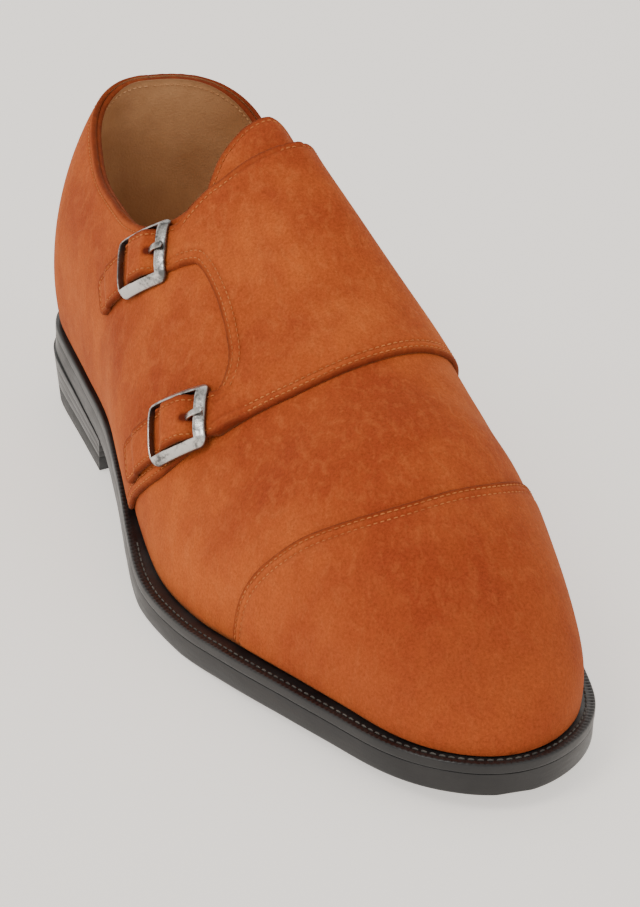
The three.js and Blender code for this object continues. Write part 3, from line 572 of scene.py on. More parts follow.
class Shader:
    """The node tree of a material or world. Values pass between its methods as sockets."""

    def __init__(self, owner, coordinates="Object"):
        owner.use_nodes = True
        self.tree = owner.node_tree
        self.tree.nodes.clear()
        self.place = self.add("TexCoord").outputs[coordinates]

    def add(self, kind, settings=(), **inputs):
        """Adds a node. An input goes by its name, or by its number as in _0."""
        node = self.tree.nodes.new("ShaderNode" + kind)
        for key, value in dict(settings).items():
            setattr(node, key, value)
        for key, value in inputs.items():
            socket = node.inputs[int(key[1:]) if key[0] == "_" else key.replace("_", " ")]
            if isinstance(value, bpy.types.NodeSocket):
                self.tree.links.new(value, socket)
            else:
                socket.default_value = (*value, 1.0) if socket.type == "RGBA" else value
        return node

    def noise(self, scale, detail=3, roughness=0.55, distortion=0.0, place=None):
        return self.add("TexNoise", Vector=place or self.place, Scale=scale, Detail=detail,
                        Roughness=roughness, Distortion=distortion).outputs["Fac"]

    def stretched(self, scale, turn=(0, 0, 0)):
        return self.add("Mapping", Vector=self.place, Scale=scale, Rotation=turn).outputs[0]

    def level(self, value, low, high, to_low=0.0, to_high=1.0):
        return self.add("MapRange", _0=value, _1=low, _2=high, _3=to_low, _4=to_high).outputs[0]

    def math(self, operation, a, b):
        return self.add("Math", {"operation": operation}, _0=a, _1=b).outputs[0]

    def total(self, *terms):
        """The sum of values, each of them times its share."""
        first, *others = (self.math("MULTIPLY", *term) for term in terms)
        for other in others:
            first = self.math("ADD", first, other)
        return first

    def blend(self, share, a, b, how="MIX"):
        """Mixes two colours."""
        return self.add("Mix", {"data_type": "RGBA", "blend_type": how},
                        _0=share, _6=a, _7=b).outputs[2]

    def seam(self):
        """How dark the place is: close to a seam, with painted shade in stitch grooves and prong holes, or how
        deep it lies in the metal's hollows.
        """
        return self.add("Attribute", {"attribute_name": "seam"}).outputs["Fac"]

    def finish(self, height, distance, **inputs):
        """Adds bump, shader and output. distance is the bump's height in metres."""
        bump = self.add("Bump", Height=height, Distance=distance, Strength=1.0).outputs[0]
        shader = self.add("BsdfPrincipled", Normal=bump, **inputs)
        self.add("OutputMaterial", Surface=shader.outputs[0])


def new_look(name):
    MATERIALS[name] = bpy.data.materials.new(name)
    return Shader(MATERIALS[name])


SUEDE_PALE, SUEDE_DEEP = (0.44, 0.096, 0.02), (0.29, 0.048, 0.012)
SUEDE_RED, SUEDE_BRUSHED = (0.26, 0.039, 0.013), (0.5, 0.13, 0.034)
# The last two: the darker tone towards the toe tip and the lower heel back, and the dark of seams, which also
# serves as painted shade in stitch grooves and prong holes.
SUEDE_TOE_HEEL_DARK, SUEDE_SEAM_AND_SHADE = (0.2, 0.031, 0.013), (0.11, 0.015, 0.006)


def suede_material():
    """Brushed nap: cloudy tone, short brush marks, fine grain, darker towards the toe tip and the lower back
    of the heel, dark at seams, with painted shade in the stitch grooves and prong holes.
    """
    look = new_look("suede")
    clouds = look.noise(24, distortion=0.2)
    patches = look.noise(70, distortion=0.3)
    strokes = look.noise(240, 3, 0.65, 0.5, look.stretched((1, 1.6, 0.6), (0.3, 0.4, 0.5)))
    nap = look.noise(1300, 3, 0.7)
    fuzz = look.noise(3800, 2, 0.6)
    colour = look.blend(look.level(clouds, 0.37, 0.63), SUEDE_DEEP, SUEDE_PALE)
    colour = look.blend(look.level(patches, 0.45, 0.75, 0, 0.55), colour, SUEDE_RED)
    colour = look.blend(look.level(strokes, 0.48, 0.75, 0, 0.4), colour, SUEDE_BRUSHED)
    x, _, z = look.add("SeparateXYZ", Vector=look.place).outputs
    # Darker towards the toe tip, and towards the back of the heel, more so lower down.
    toe = look.level(look.total((x, 1), (clouds, 0.12)), 0.12, 0.2, 0, 0.5)
    heel = look.level(look.total((x, 1), (clouds, 0.12), (z, 0.35)), -0.04, -0.08, 0, 0.6)
    colour = look.blend(look.math("MAXIMUM", toe, heel), colour, SUEDE_TOE_HEEL_DARK)
    grain = look.math("ADD", look.level(nap, 0.3, 0.7, 0.25, 0.75),
                      look.level(fuzz, 0.3, 0.7, -0.12, 0.12))
    grey = look.add("CombineColor", _0=grain, _1=grain, _2=grain).outputs[0]
    colour = look.blend(0.4, colour, grey, "OVERLAY")
    # Dark seam lines, and painted shade in the stitch grooves and prong holes.
    seam = look.math("MULTIPLY", look.seam(), look.level(strokes, 0.3, 0.6, 0.6, 0.85))
    colour = look.blend(seam, colour, SUEDE_SEAM_AND_SHADE)
    look.finish(look.total((nap, 0.7), (fuzz, 0.3), (strokes, 0.8)), 0.00022,
                Base_Color=colour, Roughness=0.95, Specular_IOR_Level=0.12,
                Sheen_Weight=0.13, Sheen_Roughness=0.4, Sheen_Tint=(1.0, 0.5, 0.22))


def smooth_leather_material(name, dark, light, grain_scale, roughness):
    look = new_look(name)
    clouds = look.noise(45, 4, 0.6, 0.4)
    pores = look.add("TexVoronoi", Vector=look.place, Scale=grain_scale).outputs["Distance"]
    fine = look.noise(grain_scale * 2.2, 2)
    colour = look.blend(look.level(clouds, 0.35, 0.65), dark, light)
    darker = [0.45 * c for c in dark]
    colour = look.blend(look.math("MULTIPLY", look.seam(), 0.4), colour, darker)
    shine = look.level(look.noise(120), 0.3, 0.7, roughness - 0.08, roughness + 0.1)
    look.finish(look.total((pores, 0.6), (fine, 0.4)), 0.00012, Base_Color=colour,
                Roughness=shine)


def black_leather_material():
    """Blackened and waxed sole edge, with faint marks along it."""
    look = new_look("black_leather")
    streaks = look.noise(420, 3, 0.6, place=look.stretched((0.25, 0.25, 2.5)))
    smudges = look.noise(60, 4, 0.6, 0.3)
    fibres = look.noise(1600, 2, 0.6)
    colour = look.blend(look.level(smudges, 0.45, 0.75), (0.006, 0.0058, 0.0064),
                        (0.017, 0.016, 0.016))
    shine = look.level(look.total((smudges, 0.6), (streaks, 0.4)), 0.35, 0.7, 0.3, 0.52)
    look.finish(look.total((streaks, 0.6), (fibres, 0.4)), 0.00009, Base_Color=colour,
                Roughness=shine, Specular_IOR_Level=0.45)


def rubber_material():
    look = new_look("rubber")
    speckle = look.noise(1400, 3, 0.7)
    scuffs = look.noise(220, 4, 0.65, place=look.stretched((0.3, 1, 1)))
    colour = look.blend(look.level(scuffs, 0.5, 0.8), (0.009, 0.009, 0.0095),
                        (0.03, 0.029, 0.028))
    look.finish(speckle, 0.00012, Base_Color=colour,
                Roughness=look.level(scuffs, 0.3, 0.7, 0.5, 0.75))


def metal_material():
    """Old silver: worn bright on its ridges, dark in patches, with fine scratches."""
    look = new_look("metal")
    patina = look.noise(330, 4, 0.7, 0.8)
    pits = look.noise(1500, 3, 0.7)
    scratches = look.noise(2400, 2, 0.6, place=look.stretched((1, 0.12, 1), (0.4, 0.2, 0.9)))
    patches = look.noise(85, 2, 0.5)
    dark = look.level(look.total((patina, 0.5), (pits, 0.15), (patches, 0.35)), 0.46, 0.58)
    dark = look.math("MAXIMUM", look.math("MULTIPLY", dark, 0.85), look.seam())
    colour = look.blend(dark, (0.56, 0.55, 0.53), (0.055, 0.057, 0.06))
    look.finish(look.total((pits, 0.6), (scratches, 0.4)), 0.00005, Base_Color=colour,
                Metallic=1.0, Roughness=look.level(patina, 0.3, 0.7, 0.22, 0.42))


def thread_material(name, colour, dark):
    look = new_look(name)
    twist = look.noise(2600, 2, 0.6)
    tone = look.blend(look.level(look.noise(90), 0.35, 0.65), colour, dark)
    look.finish(twist, 0.00008, Base_Color=tone, Roughness=0.8, Specular_IOR_Level=0.2)


def make_materials():
    suede_material()
    smooth_leather_material("lining", (0.4, 0.19, 0.08), (0.52, 0.27, 0.12), 1300, 0.5)
    smooth_leather_material("sock", (0.36, 0.17, 0.075), (0.48, 0.25, 0.115), 1100, 0.48)
    smooth_leather_material("heel_sock", (0.27, 0.115, 0.045), (0.35, 0.16, 0.065), 1200,
                            0.46)
    black_leather_material()
    rubber_material()
    metal_material()
    thread_material("lining_thread", (0.5, 0.27, 0.13), (0.36, 0.17, 0.07))
    thread_material("thread", (0.5, 0.158, 0.044), (0.35, 0.09, 0.024))
    thread_material("sole_thread", (0.1, 0.094, 0.085), (0.045, 0.042, 0.039))


# ---------------- upper, cap and tongue


def sheet_of(x, v, face, under):
    """A sheet of [x, v, height of the face, height of the underside]."""
    return np.stack(np.broadcast_arrays(x, v, face, under), -1).astype(float)


def collar_line(side, start=0.0, end=THROAT_X, drop=0.0):
    x = stations(start, end, 1)
    return np.stack([x, collar_share(x, side, drop)], -1)


WALL_DROP = 0.2  # the wall ends this far below the quarters' edge


def make_upper():
    """The vamp, with the lining on its inside all the way to the heel."""
    rear = stations(0, THROAT_X, 1.7)[:, None]
    fore = stations(THROAT_X, LAST_LENGTH, 1.5)[:, None]
    shares = np.linspace(0, 1, 74) ** 1.25
    sheets = []
    for side in (1, -1):
        top = collar_share(rear, side, WALL_DROP)
        sheets.append(sheet_of(rear, top + (side - top) * shares, 0.0, -WALL))
    both = np.concatenate([-shares[:0:-1], shares])
    sheets.append(sheet_of(fore, both, 0.0, -WALL))
    edges = [Edge(collar_line(side, drop=WALL_DROP), radius=0.6, drop=0.4) for side in (1, -1)]
    panel("vamp_and_lining", sheets, edges, "upper")


def make_toe_cap():
    even = np.linspace(-1, 1, 131)
    v = (np.sin(even * np.pi / 2) + even) / 2 * FEATHER_SHARE
    start = np.interp(cap_edge(v), DENSE, WALK)[:, None]
    shares = spread(WALK[-1] - start[:, 0], 62, at_end=False)
    x = np.interp(start + (WALK[-1] - start) * shares, WALK, DENSE)
    x[:, 0], x[:, -1] = cap_edge(v), LAST_LENGTH
    edge = Edge(np.stack([cap_edge(v), v], -1), CAP_ROWS, radius=0.7)
    inset = np.interp(x, DENSE, WALK) - start
    face = CAP_FACE + CAP_SWELL * ease(inset / CAP_SWELL_WIDTH)
    panel("toe_cap_leather", [sheet_of(x, v[:, None], face, SUNK)], [edge], "toe_cap")
    add_stitches("toe_cap_stitches", edge_rows(edge, CAP_FACE + 0.03, -1))


def make_collar_stitches():
    """The collar's row of stitches, as seen on the lining."""
    rows = []
    for side in (1, -1):
        line = move_in(resample(collar_line(side), 0.5), SINGLE_ROW[0], side)
        starts, ends, normals = stitch_line(line, -WALL - THREAD / 3)
        rows.append((starts, ends, -normals))
    add_stitches("collar_lining_stitches", rows, "lining_thread")


def make_tongue():
    top = TONGUE_HALF[0][0]
    x = np.concatenate([stations(top, TONGUE_END, 0.9), top + NEAR[:9] * 0.5])
    x = np.unique(x)[:, None]
    v = (2 * spread(40, 24)[0] - 1) * tongue_half(x) + TONGUE_MIDDLE
    left, right = (np.stack([x[:, 0], v[:, k]], -1) for k in (0, -1))
    across = np.stack([0 * v[0] + top, v[0]], -1)
    edge = Edge(np.concatenate([left[:0:-1], across, right[1:]]), TONGUE_ROW, radius=0.6,
                drop=0.5)
    sheet = sheet_of(x, v, -TONGUE_DEPTH, -TONGUE_DEPTH - TONGUE_THICKNESS)
    panel("tongue_leather", [sheet], [edge], "tongue")
    add_stitches("tongue_stitches", edge_rows(edge, -TONGUE_DEPTH, -1))


# ---------------- quarters, flap and straps


class Strap:
    """Places on a buckled strap: a along it towards its end, b across it, from the buckle."""

    def __init__(self, x, v, slope, reach):
        self.x, self.v, self.reach = x, v, reach
        along = (last_point(x + 1, v) - last_point(x - 1, v)) / 2
        across = (last_point(x, v + 0.01) - last_point(x, v - 0.01)) / 0.02
        normal = last_normal(x, v)
        backward = np.array([-cos(radians(slope)), 0, -sin(radians(slope))])
        backward = unit(backward - normal * (backward @ normal))
        downward = np.cross(normal, backward)
        base = np.stack([along, across], -1)
        self.back_step = np.linalg.lstsq(base, backward, rcond=None)[0]
        self.down_step = np.linalg.lstsq(base, downward, rcond=None)[0]

    def flat(self, a, b):
        a, b = np.broadcast_arrays(np.asarray(a, float), np.asarray(b, float))
        return (self.x + a * self.back_step[0] + b * self.down_step[0],
                self.v + a * self.back_step[1] + b * self.down_step[1])

    def bend(self, a, b, height):
        return on_wall(*self.flat(a, b), height)

    def line(self, a, b):
        return np.stack(self.flat(a, b), -1)


STRAPS = {place: Strap(**sizes) for place, sizes in BUCKLES.items()}
HALF_STRAP = STRAP_WIDTH / 2
ACROSS_STRAP = np.concatenate([NEAR - HALF_STRAP, np.linspace(-0.7, 0.7, 6),
                               HALF_STRAP - NEAR[::-1]])
END_RADIUS = 3.2  # of the strap's end corners


def strap_rise(a):
    """Height of a strap's underside: on the quarter, over the centre bar, then over the tab."""
    ends, heights = np.array(STRAP_RISE).T
    i = np.clip(np.searchsorted(ends, a, side="right") - 1, 0, len(ends) - 2)
    t = (a - ends[i]) / (ends[i + 1] - ends[i])
    return heights[i] + ease(t) * (heights[i + 1] - heights[i])


def strap_half(a, reach, half=HALF_STRAP, radius=END_RADIUS):
    """Half the strap's width, with its end's corners rounded."""
    u = np.clip((a - reach + radius) / radius, 0, 1)
    return half - radius * (1 - np.sqrt(1 - u * u))


def strap_outline(strap, inset=0.0, radius=END_RADIUS, step=0.5, count=9):
    """Places a, b along the strap's long edges and end, from its root round to its root."""
    reach = strap.reach - inset
    corner = reach - radius * (1 - np.sin(np.linspace(0, np.pi / 2, count)))
    a = np.concatenate([np.arange(STRAP_ROOT, reach - radius, step), corner])
    half = strap_half(a, reach, HALF_STRAP - inset, radius)
    return np.concatenate([a, a[::-1]]), np.concatenate([-half, half[::-1]])


PRONG_HOLE = (-6.3, -4.6)


def strap_sheet(strap):
    a = np.concatenate([np.arange(STRAP_ROOT, -9, 0.8), np.arange(-9, -2.5, 0.3),
                        np.arange(-2.5, strap.reach - NEAR[-1], 0.8),
                        strap.reach - NEAR[::-1]])[:, None]
    b = ACROSS_STRAP / HALF_STRAP * strap_half(a, strap.reach)
    x, v = strap.flat(a, b)
    rise = strap_rise(a) + 0 * b
    under = SUNK + (rise - SKIN_GAP - 0.03 - SUNK) * ease((a - STRAP_ROOT) / 3)
    return sheet_of(x, v, rise + OVERLAY, under)


def table_curves(edges, side, extra=()):
    """Curves for the columns of a quarter's edge table, by row number."""
    rows = []
    for i, (top_x, top_v, bottom_x, bottom_v) in enumerate(edges):
        if top_v is None:
            top_v = float(collar_share(top_x, side))
        rows.append((i, top_x, top_v, bottom_x, bottom_v))
    rows = np.array(rows + list(extra))
    return [curve_through(rows[:, (0, k)]) for k in range(1, 5)]


def notch_line():
    """The edge between the two straps."""
    first = STRAPS["upper"].line(STRAP_ROOT, HALF_STRAP)
    final = STRAPS["lower"].line(STRAP_ROOT, -HALF_STRAP)
    points = np.array([first, *NOTCH, final])
    t = np.linspace(0, len(points) - 1, 70)
    return np.stack([curve_through(list(enumerate(points[:, k])))(t) for k in (0, 1)], -1)


TABLE_END = 13.5  # row number of the straps' roots after the last row of the table
BEND_START = 9  # the row from which the lines bend to the outline of roots and notch
THROAT_START = 8.6  # the row at which the top edge leaves the collar


def strap_quarter_places(curves, end, share):
    """The x and v of the quarter's points. Its lines run from the top to the lower edge, and
    the last of them is its end, with the straps' roots and the notch."""
    rear = stations(0, QUARTER_START, 1.5)[:-1, None]
    rear_top = collar_share(rear, 1)
    row = np.concatenate([np.linspace(0, 12.6, 165), TABLE_END - NEAR[12::-1] / 7])[:, None]
    top_x, top_v, bottom_x, bottom_v = (curve(row) for curve in curves)
    bend = ease((row - BEND_START) / (TABLE_END - BEND_START))
    off = end - (end[0] + (end[-1] - end[0]) * share[:, None])
    x = top_x + (bottom_x - top_x) * share + bend * off[:, 0]
    v = top_v + (bottom_v - top_v) * share + bend * off[:, 1]
    return (np.concatenate([rear + 0 * share, x]),
            np.concatenate([rear_top + (FEATHER_SHARE - rear_top) * share, v]))


def on_instep(v):
    """0 on the medial side, and 1 where the flap lies on the lateral quarter."""
    return ease((-v - 0.02) / 0.2)


def make_strap_quarter():
    """The medial quarter, with the flap over the instep and the two straps in one piece."""
    upper, lower = STRAPS["upper"], STRAPS["lower"]
    notch = notch_line()
    end = np.concatenate([upper.line(STRAP_ROOT, ACROSS_STRAP), notch[1:-1],
                          lower.line(STRAP_ROOT, ACROSS_STRAP)])
    along = walked(on_wall(*end.T))
    share = along / along[-1]
    curves = table_curves(STRAP_QUARTER_EDGES, 1, [(TABLE_END, *end[0], *end[-1])])
    x, v = strap_quarter_places(curves, end, share)
    t = np.linspace(0, TABLE_END, 260)
    seam = Edge(np.stack([curves[2](t), curves[3](t)], -1), DOUBLE_ROW)
    top = t[t > THROAT_START]
    throat = Edge(np.stack([curves[0](top), curves[1](top)], -1), SINGLE_ROW)
    collar = Edge(collar_line(1), SINGLE_ROW)
    window = Edge(notch, DOUBLE_ROW)
    back = Edge(np.stack([0 * t, np.linspace(0, FEATHER_SHARE, len(t))], -1), radius=0.7)
    loops = [Edge(strap.line(*strap_outline(strap)), STRAP_ROW, radius=0.6)
             for strap in STRAPS.values()]
    # The prong holes are only dimples. Their dark is painted shade, with mark 2.5 on the seam tone.
    prong_holes_painted_shade = [Edge(strap.line(np.linspace(*PRONG_HOLE, 5), 0), radius=0.9, drop=0.95, mark=2.5)
             for strap in STRAPS.values()]
    # The flap comes down to the vamp along its front edge, but not at the lower strap's root.
    root = Edge(lower.line(STRAP_ROOT, np.linspace(-HALF_STRAP, HALF_STRAP, 9)))
    places = on_wall(x, v)
    lifted = np.maximum(ease((seam.distance(places) - 4) / 9),
                        ease(1 - (root.distance(places) - 1) / 11))
    rise = SKIN_GAP + (LOW - SKIN_GAP) * lifted * on_instep(v)
    rise[-1] = LOW
    sheets = [sheet_of(x, v, rise + OVERLAY, SUNK)] + [strap_sheet(s) for s in STRAPS.values()]
    panel("strap_quarter_leather", sheets, [seam, throat, collar, window, back, *prong_holes_painted_shade, *loops],
          "strap_quarter")

    def throat_height(x, v):
        return FACE + (LOW - SKIN_GAP) * on_instep(v) * ease(-v / 0.25 - 0.2)

    rows = edge_rows(seam, FACE, -1) + edge_rows(collar, FACE, 1)
    rows += edge_rows(window, LOW + OVERLAY, 1) + edge_rows(throat, throat_height, 1)
    add_stitches("strap_quarter_stitches", rows + [strap_stitches(s) for s in STRAPS.values()])


def strap_stitches(strap):
    """One row round the strap's edges, lying on the strap's rise over the buckle."""
    a, b = strap_outline(strap, STRAP_ROW[0], radius=1.5, step=0.3, count=7)
    places = strap.line(a, b)
    points = on_wall(*places.T, strap_rise(a) + OVERLAY - STITCH_DEPTH)
    along = walked(points)
    starts = np.arange(1, along[-1] - 2, PITCH)
    first, final = (values_at(at, along, points) for at in (starts, starts + STITCH_SHARE * PITCH))
    normals = last_normal(*values_at(starts, along, places).T)
    run = unit(final - first)
    return first, final, unit(normals - run * (normals * run).sum(-1, keepdims=True))


def make_lateral_quarter():
    curves = table_curves(LATERAL_QUARTER_EDGES, -1)
    final = len(LATERAL_QUARTER_EDGES) - 1
    rear = stations(0, QUARTER_START, 1.5)[:-1, None]
    starts = (rear, collar_share(rear, -1), rear, 0 * rear - FEATHER_SHARE)
    row = np.linspace(0, final, 110)[:, None]
    top_x, top_v, bottom_x, bottom_v = (np.concatenate([start, curve(row)])
                                        for start, curve in zip(starts, curves))
    length = np.linalg.norm(on_wall(top_x, top_v) - on_wall(bottom_x, bottom_v), axis=-1)[:, 0]
    share = spread(length, 60)
    x = top_x + (bottom_x - top_x) * share
    v = top_v + (bottom_v - top_v) * share
    t = np.linspace(4, final, 90)
    front = Edge(np.stack([curves[2](t), curves[3](t)], -1), DOUBLE_ROW)
    collar = Edge(collar_line(-1), SINGLE_ROW)
    back = Edge(np.stack([0 * t, -np.linspace(0, FEATHER_SHARE, len(t))], -1), radius=0.7)
    panel("lateral_quarter_leather", [sheet_of(x, v, FACE, SUNK)], [front, collar, back],
          "lateral_quarter")
    add_stitches("lateral_quarter_stitches",
                 edge_rows(front, FACE, 1) + edge_rows(collar, FACE, -1))


# ---------------- buckles

# Section of the frame's metal, outwards from its middle and up: ridge inside, wide outer bevel.
FRAME_SECTION = np.array([
    (-1.15, 0), (-1.25, 0.1), (-1.25, 1.6), (-1.15, 1.88), (-0.92, 2), (-0.6, 1.97),
    (-0.35, 1.86), (0.98, 0.98), (1.2, 0.75), (1.25, 0.6), (1.25, 0.1), (1.15, 0),
])
# How dark the metal is at each place of the section: its foot and its inner wall don't get worn.
FRAME_SHADE = 0.85 * np.array([1, 1, 0.95, 0.45, 0, 0, 0, 0.1, 0.35, 0.7, 1, 1])
PRONG_WIDTH, PRONG_THICKNESS = 2.3, 0.95
PRONG_PATH = ((-3.4, 4.6), (-4.6, 4.85), (-6, 5.5), (-7.6, 6.15), (-9.2, 6.4), (-10.8, 6.35),
              (-11.9, 6.05))


def frame_path():
    """The middle of the frame's metal: places [a, b] and the ways out from it."""
    half = (np.array([BUCKLE_LENGTH, BUCKLE_WIDTH]) - BUCKLE_BAR) / 2 - BUCKLE_CORNER
    corners = half * ((1, 1), (-1, 1), (-1, -1), (1, -1))
    places, outs = [], []
    for k in range(4):
        for angle in np.radians(90 * k + np.linspace(0, 90, 8)):
            out = np.array([cos(angle), sin(angle)])
            places.append(corners[k] + BUCKLE_CORNER * out)
            outs.append(out)
        side = corners[(k + 1) % 4] - corners[k]
        corner = places[-1]
        for share in np.linspace(0, 1, 9)[1:-1]:
            places.append(corner + share * side)
            outs.append(out)
    return np.array(places), np.array(outs)


def make_buckle(place, strap):
    middle, out = frame_path()
    half_length = (BUCKLE_LENGTH - BUCKLE_BAR) / 2
    half_width = (BUCKLE_WIDTH - BUCKLE_BAR) / 2
    base = (LOW + OVERLAY + GAP
            + (OVER_TAB - LOW) * (middle[:, 0] + half_length) / (2 * half_length))
    # The front bar is wide, the rear bar is thin, and the sides bend down to the foot.
    rear = ease((middle[:, 0] - half_length) / BUCKLE_BAR + 1)
    front = ease(1 - (half_length + middle[:, 0]) / BUCKLE_BAR)
    width = 1 - 0.35 * rear + 0.28 * front
    wide, high = FRAME_SECTION.T
    a = middle[:, 0, None] + wide * (out[:, 0] * width)[:, None]
    b = middle[:, 1, None] + wide * out[:, 1, None]
    arch = GAP - BUCKLE_ARCH * (b / half_width) ** 4
    height = base[:, None] + arch + high * (1 - 0.12 * rear)[:, None]
    ring, ring_faces = tube(strap.bend(a, b, height), looped=True)
    angles = 2 * np.pi * np.arange(12) / 12
    across = np.linspace(-half_width, half_width, 7)[:, None]
    bar, bar_faces = tube(strap.bend(
        CENTRE_BAR_RADIUS * np.cos(angles) + 0 * across, across + 0 * angles,
        BAR_HEIGHT + CENTRE_BAR_RADIUS * np.sin(angles) + 0 * across))
    faces = ring_faces + [[len(ring) + c for c in face] for face in bar_faces]
    dark = np.concatenate([np.tile(FRAME_SHADE, len(middle)), np.zeros(len(bar))])
    add_piece(f"buckle_{place}", (np.concatenate([ring, bar]), faces), ["metal"],
              f"buckle_frame_{place}", seam=dark, sharp=32)


def band(strap, path, width, thickness, sides, taper=1.0):
    """A flat band with rounded edges along a path [a, height], swept across the strap."""
    path = np.array(path, float)
    run = unit(np.gradient(path, axis=0))
    angles = 2 * np.pi * (np.arange(sides) + 0.5) / sides
    wide = np.sign(np.cos(angles)) * np.abs(np.cos(angles)) ** 0.45 * width / 2
    thick = np.sign(np.sin(angles)) * np.abs(np.sin(angles)) ** 0.7 * thickness / 2
    size = (taper + np.zeros(len(path)))[:, None]
    a = path[:, :1] - run[:, 1:] * thick * size
    height = path[:, 1:] + run[:, :1] * thick * size
    return tube(strap.bend(a, size * wide, height))


def round_bar(*angles):
    """Places [a, height] round the centre bar, in the middle of what is folded over it."""
    radius = CENTRE_BAR_RADIUS + BAR_CLEARANCE + TAB_THICKNESS / 2
    return [(radius * cos(radians(t)), BAR_HEIGHT + radius * sin(radians(t)))
            for t in range(*angles)]


def make_prong(place, strap):
    path = np.array(round_bar(-150, 91, 20) + list(PRONG_PATH))
    at = walked(path)
    fine = np.linspace(0, at[-1], 60)
    path = np.stack([curve_through(list(zip(at, path[:, k])))(fine) for k in (0, 1)], -1)
    taper = np.sqrt(np.clip((at[-1] - fine) / 0.6, 0.03, 1)) * (1 - 0.15 * ease(fine / at[-1]))
    skin = band(strap, path, PRONG_WIDTH, PRONG_THICKNESS, 12, taper)
    add_piece(f"prong_{place}", skin, ["metal"], f"buckle_prong_{place}",
              seam=np.zeros(len(skin[0])), sharp=40)


def make_tab(place, strap):
    """The strip of suede that holds the buckle's centre bar."""
    path = [(a, LOW + TAB_THICKNESS / 2) for a in np.linspace(TAB_END, 2, 19)]
    skin = band(strap, path + round_bar(-90, -301, -15), TAB_WIDTH, TAB_THICKNESS, 16)
    add_piece(f"buckle_strip_{place}", skin, ["suede"], f"buckle_tab_{place}",
              seam=np.full(len(skin[0]), 0.5))


# ---------------- sole and heel


def welt_top(x):
    return LAST["feather"](x) - GAP


def outsole_top(x):
    return welt_top(x) - WELT_THICKNESS - JOINT


def outsole_bottom(x):
    return np.maximum(0, welt_top(x) - WELT_THICKNESS - GAP - OUTSOLE_THICKNESS)


def across_sole(x, share, grow):
    """Places in plan, from the lateral (0) to the medial edge (1) of the grown feather line."""
    lateral, medial = feather_plan(x, -1, grow), feather_plan(x, 1, grow)
    return lateral + (medial - lateral) * np.asarray(share)[..., None]


def round_sole(x):
    """Stations x and shares across the sole, along its lateral side and back along the medial."""
    return np.concatenate([x, x[-2::-1]]), np.repeat([0.0, 1.0], [len(x), len(x) - 1])


# Section of welt and rand: distance in from the outer edge and height over its top.
STRIP_SECTION = np.array([
    (9, -2.9), (0.3, -2.9), (0.06, -2.75), (0, -2.4), (0, -0.75), (0.08, -0.35), (0.3, -0.08),
    (0.6, 0), (0.95, 0.02), (1.3, 0.02), (1.65, 0), (2, -0.08), (2.5, -0.2), (3.1, -0.22),
    (3.8, -0.12), (9, 0),
])
WHEEL_PITCH, WHEEL_DEPTH, WHEEL_START = 1.75, 0.32, 95
WELT_STITCH_INSET, WELT_PITCH, WELT_STITCH, WELT_THREAD = 2.6, 2.5, 1.8, 0.3


def strip(x, share, marks):
    """Points and faces of welt or rand. marks is the depth of the wheel's marks on it."""
    inset, height = STRIP_SECTION.T
    margin = sole_margin(x)[:, None]
    inset = np.minimum(inset, margin + FEATHER_OVERLAP - 0.001 * np.arange(len(inset))[::-1])
    plan = across_sole(x[:, None], share[:, None] + 0 * inset, margin - inset)
    along = walked(plan[:, 3])
    pulse = np.clip(np.cos(2 * np.pi * along / WHEEL_PITCH), 0, 1) ** 1.5
    ridge = np.exp(-(((STRIP_SECTION[:, 0] - 1.1) / 0.75) ** 2)) * (height > -0.5)
    fore = ease((x - WHEEL_START) / 25)
    z = welt_top(plan[..., 0]) + height - marks * (pulse * fore)[:, None] * ridge
    return tube(np.concatenate([plan, z[..., None]], -1))


def make_welt():
    skin = strip(*round_sole(stations(STRIP_JOIN, LAST_LENGTH, 0.34)), WHEEL_DEPTH)
    add_piece("welt_strip", skin, ["black_leather"], "welt", sharp=50)
    x, share = round_sole(stations(104, LAST_LENGTH, 0.5))
    plan = across_sole(x, share, sole_margin(x) - WELT_STITCH_INSET)
    line = np.concatenate([plan, (welt_top(plan[:, 0]) - 0.16)[:, None]], -1)
    line = line[sole_margin(x) > WELT_STITCH_INSET + 0.6]
    along = walked(line)
    starts = np.arange(1, along[-1] - 4, WELT_PITCH)
    up = np.tile([0.0, 0, 1], (len(starts), 1))
    row = (values_at(starts, along, line), values_at(starts + WELT_STITCH, along, line), up)
    add_stitches("welt_stitches", [row], "sole_thread", WELT_THREAD)


def make_seat_rand():
    skin = strip(*round_sole(stations(0, STRIP_JOIN - JOINT, 0.6)[::-1]), 0)
    add_piece("seat_rand_strip", skin, ["black_leather"], "seat_rand", sharp=50)


def sole_shell(name, x, share, grow, top, bottom, rounding, look, node, profile=None):
    """A flat piece of the sole between two heights, with its edges rounded."""
    plan = across_sole(x, share, grow)
    inset = np.minimum(share, 1 - share) * np.linalg.norm(
        feather_plan(x, 1, grow) - feather_plan(x, -1, grow), axis=-1)
    inset = np.minimum(inset, np.minimum(plan[..., 0] - plan[0, 0, 0],
                                         plan[-1, 0, 0] - plan[..., 0]))
    high, low = top(plan[..., 0]), bottom(plan[..., 0])
    for radius, edge, sign in ((rounding[0], high, -1), (rounding[1], low, 1)):
        t = np.clip(inset / radius, 0, 1)
        edge += sign * radius * (1 - np.sqrt(1 - (1 - t) ** 2))
    if profile:
        high, low = profile(inset, plan, high, low)
    tops = np.concatenate([plan, high[..., None]], -1)
    bottoms = np.concatenate([plan, low[..., None]], -1)
    sheet = np.stack(np.broadcast_arrays(x, share), -1)
    skin, _, seam = shell([sheet], [tops], [bottoms], [0 * high])
    add_piece(name, skin, [look], node, seam=seam, sharp=60)


CHANNEL_INSET, CHANNEL_DEPTH, CHANNEL_WIDTH, CHANNEL_START = 4.2, 0.3, 0.35, 110


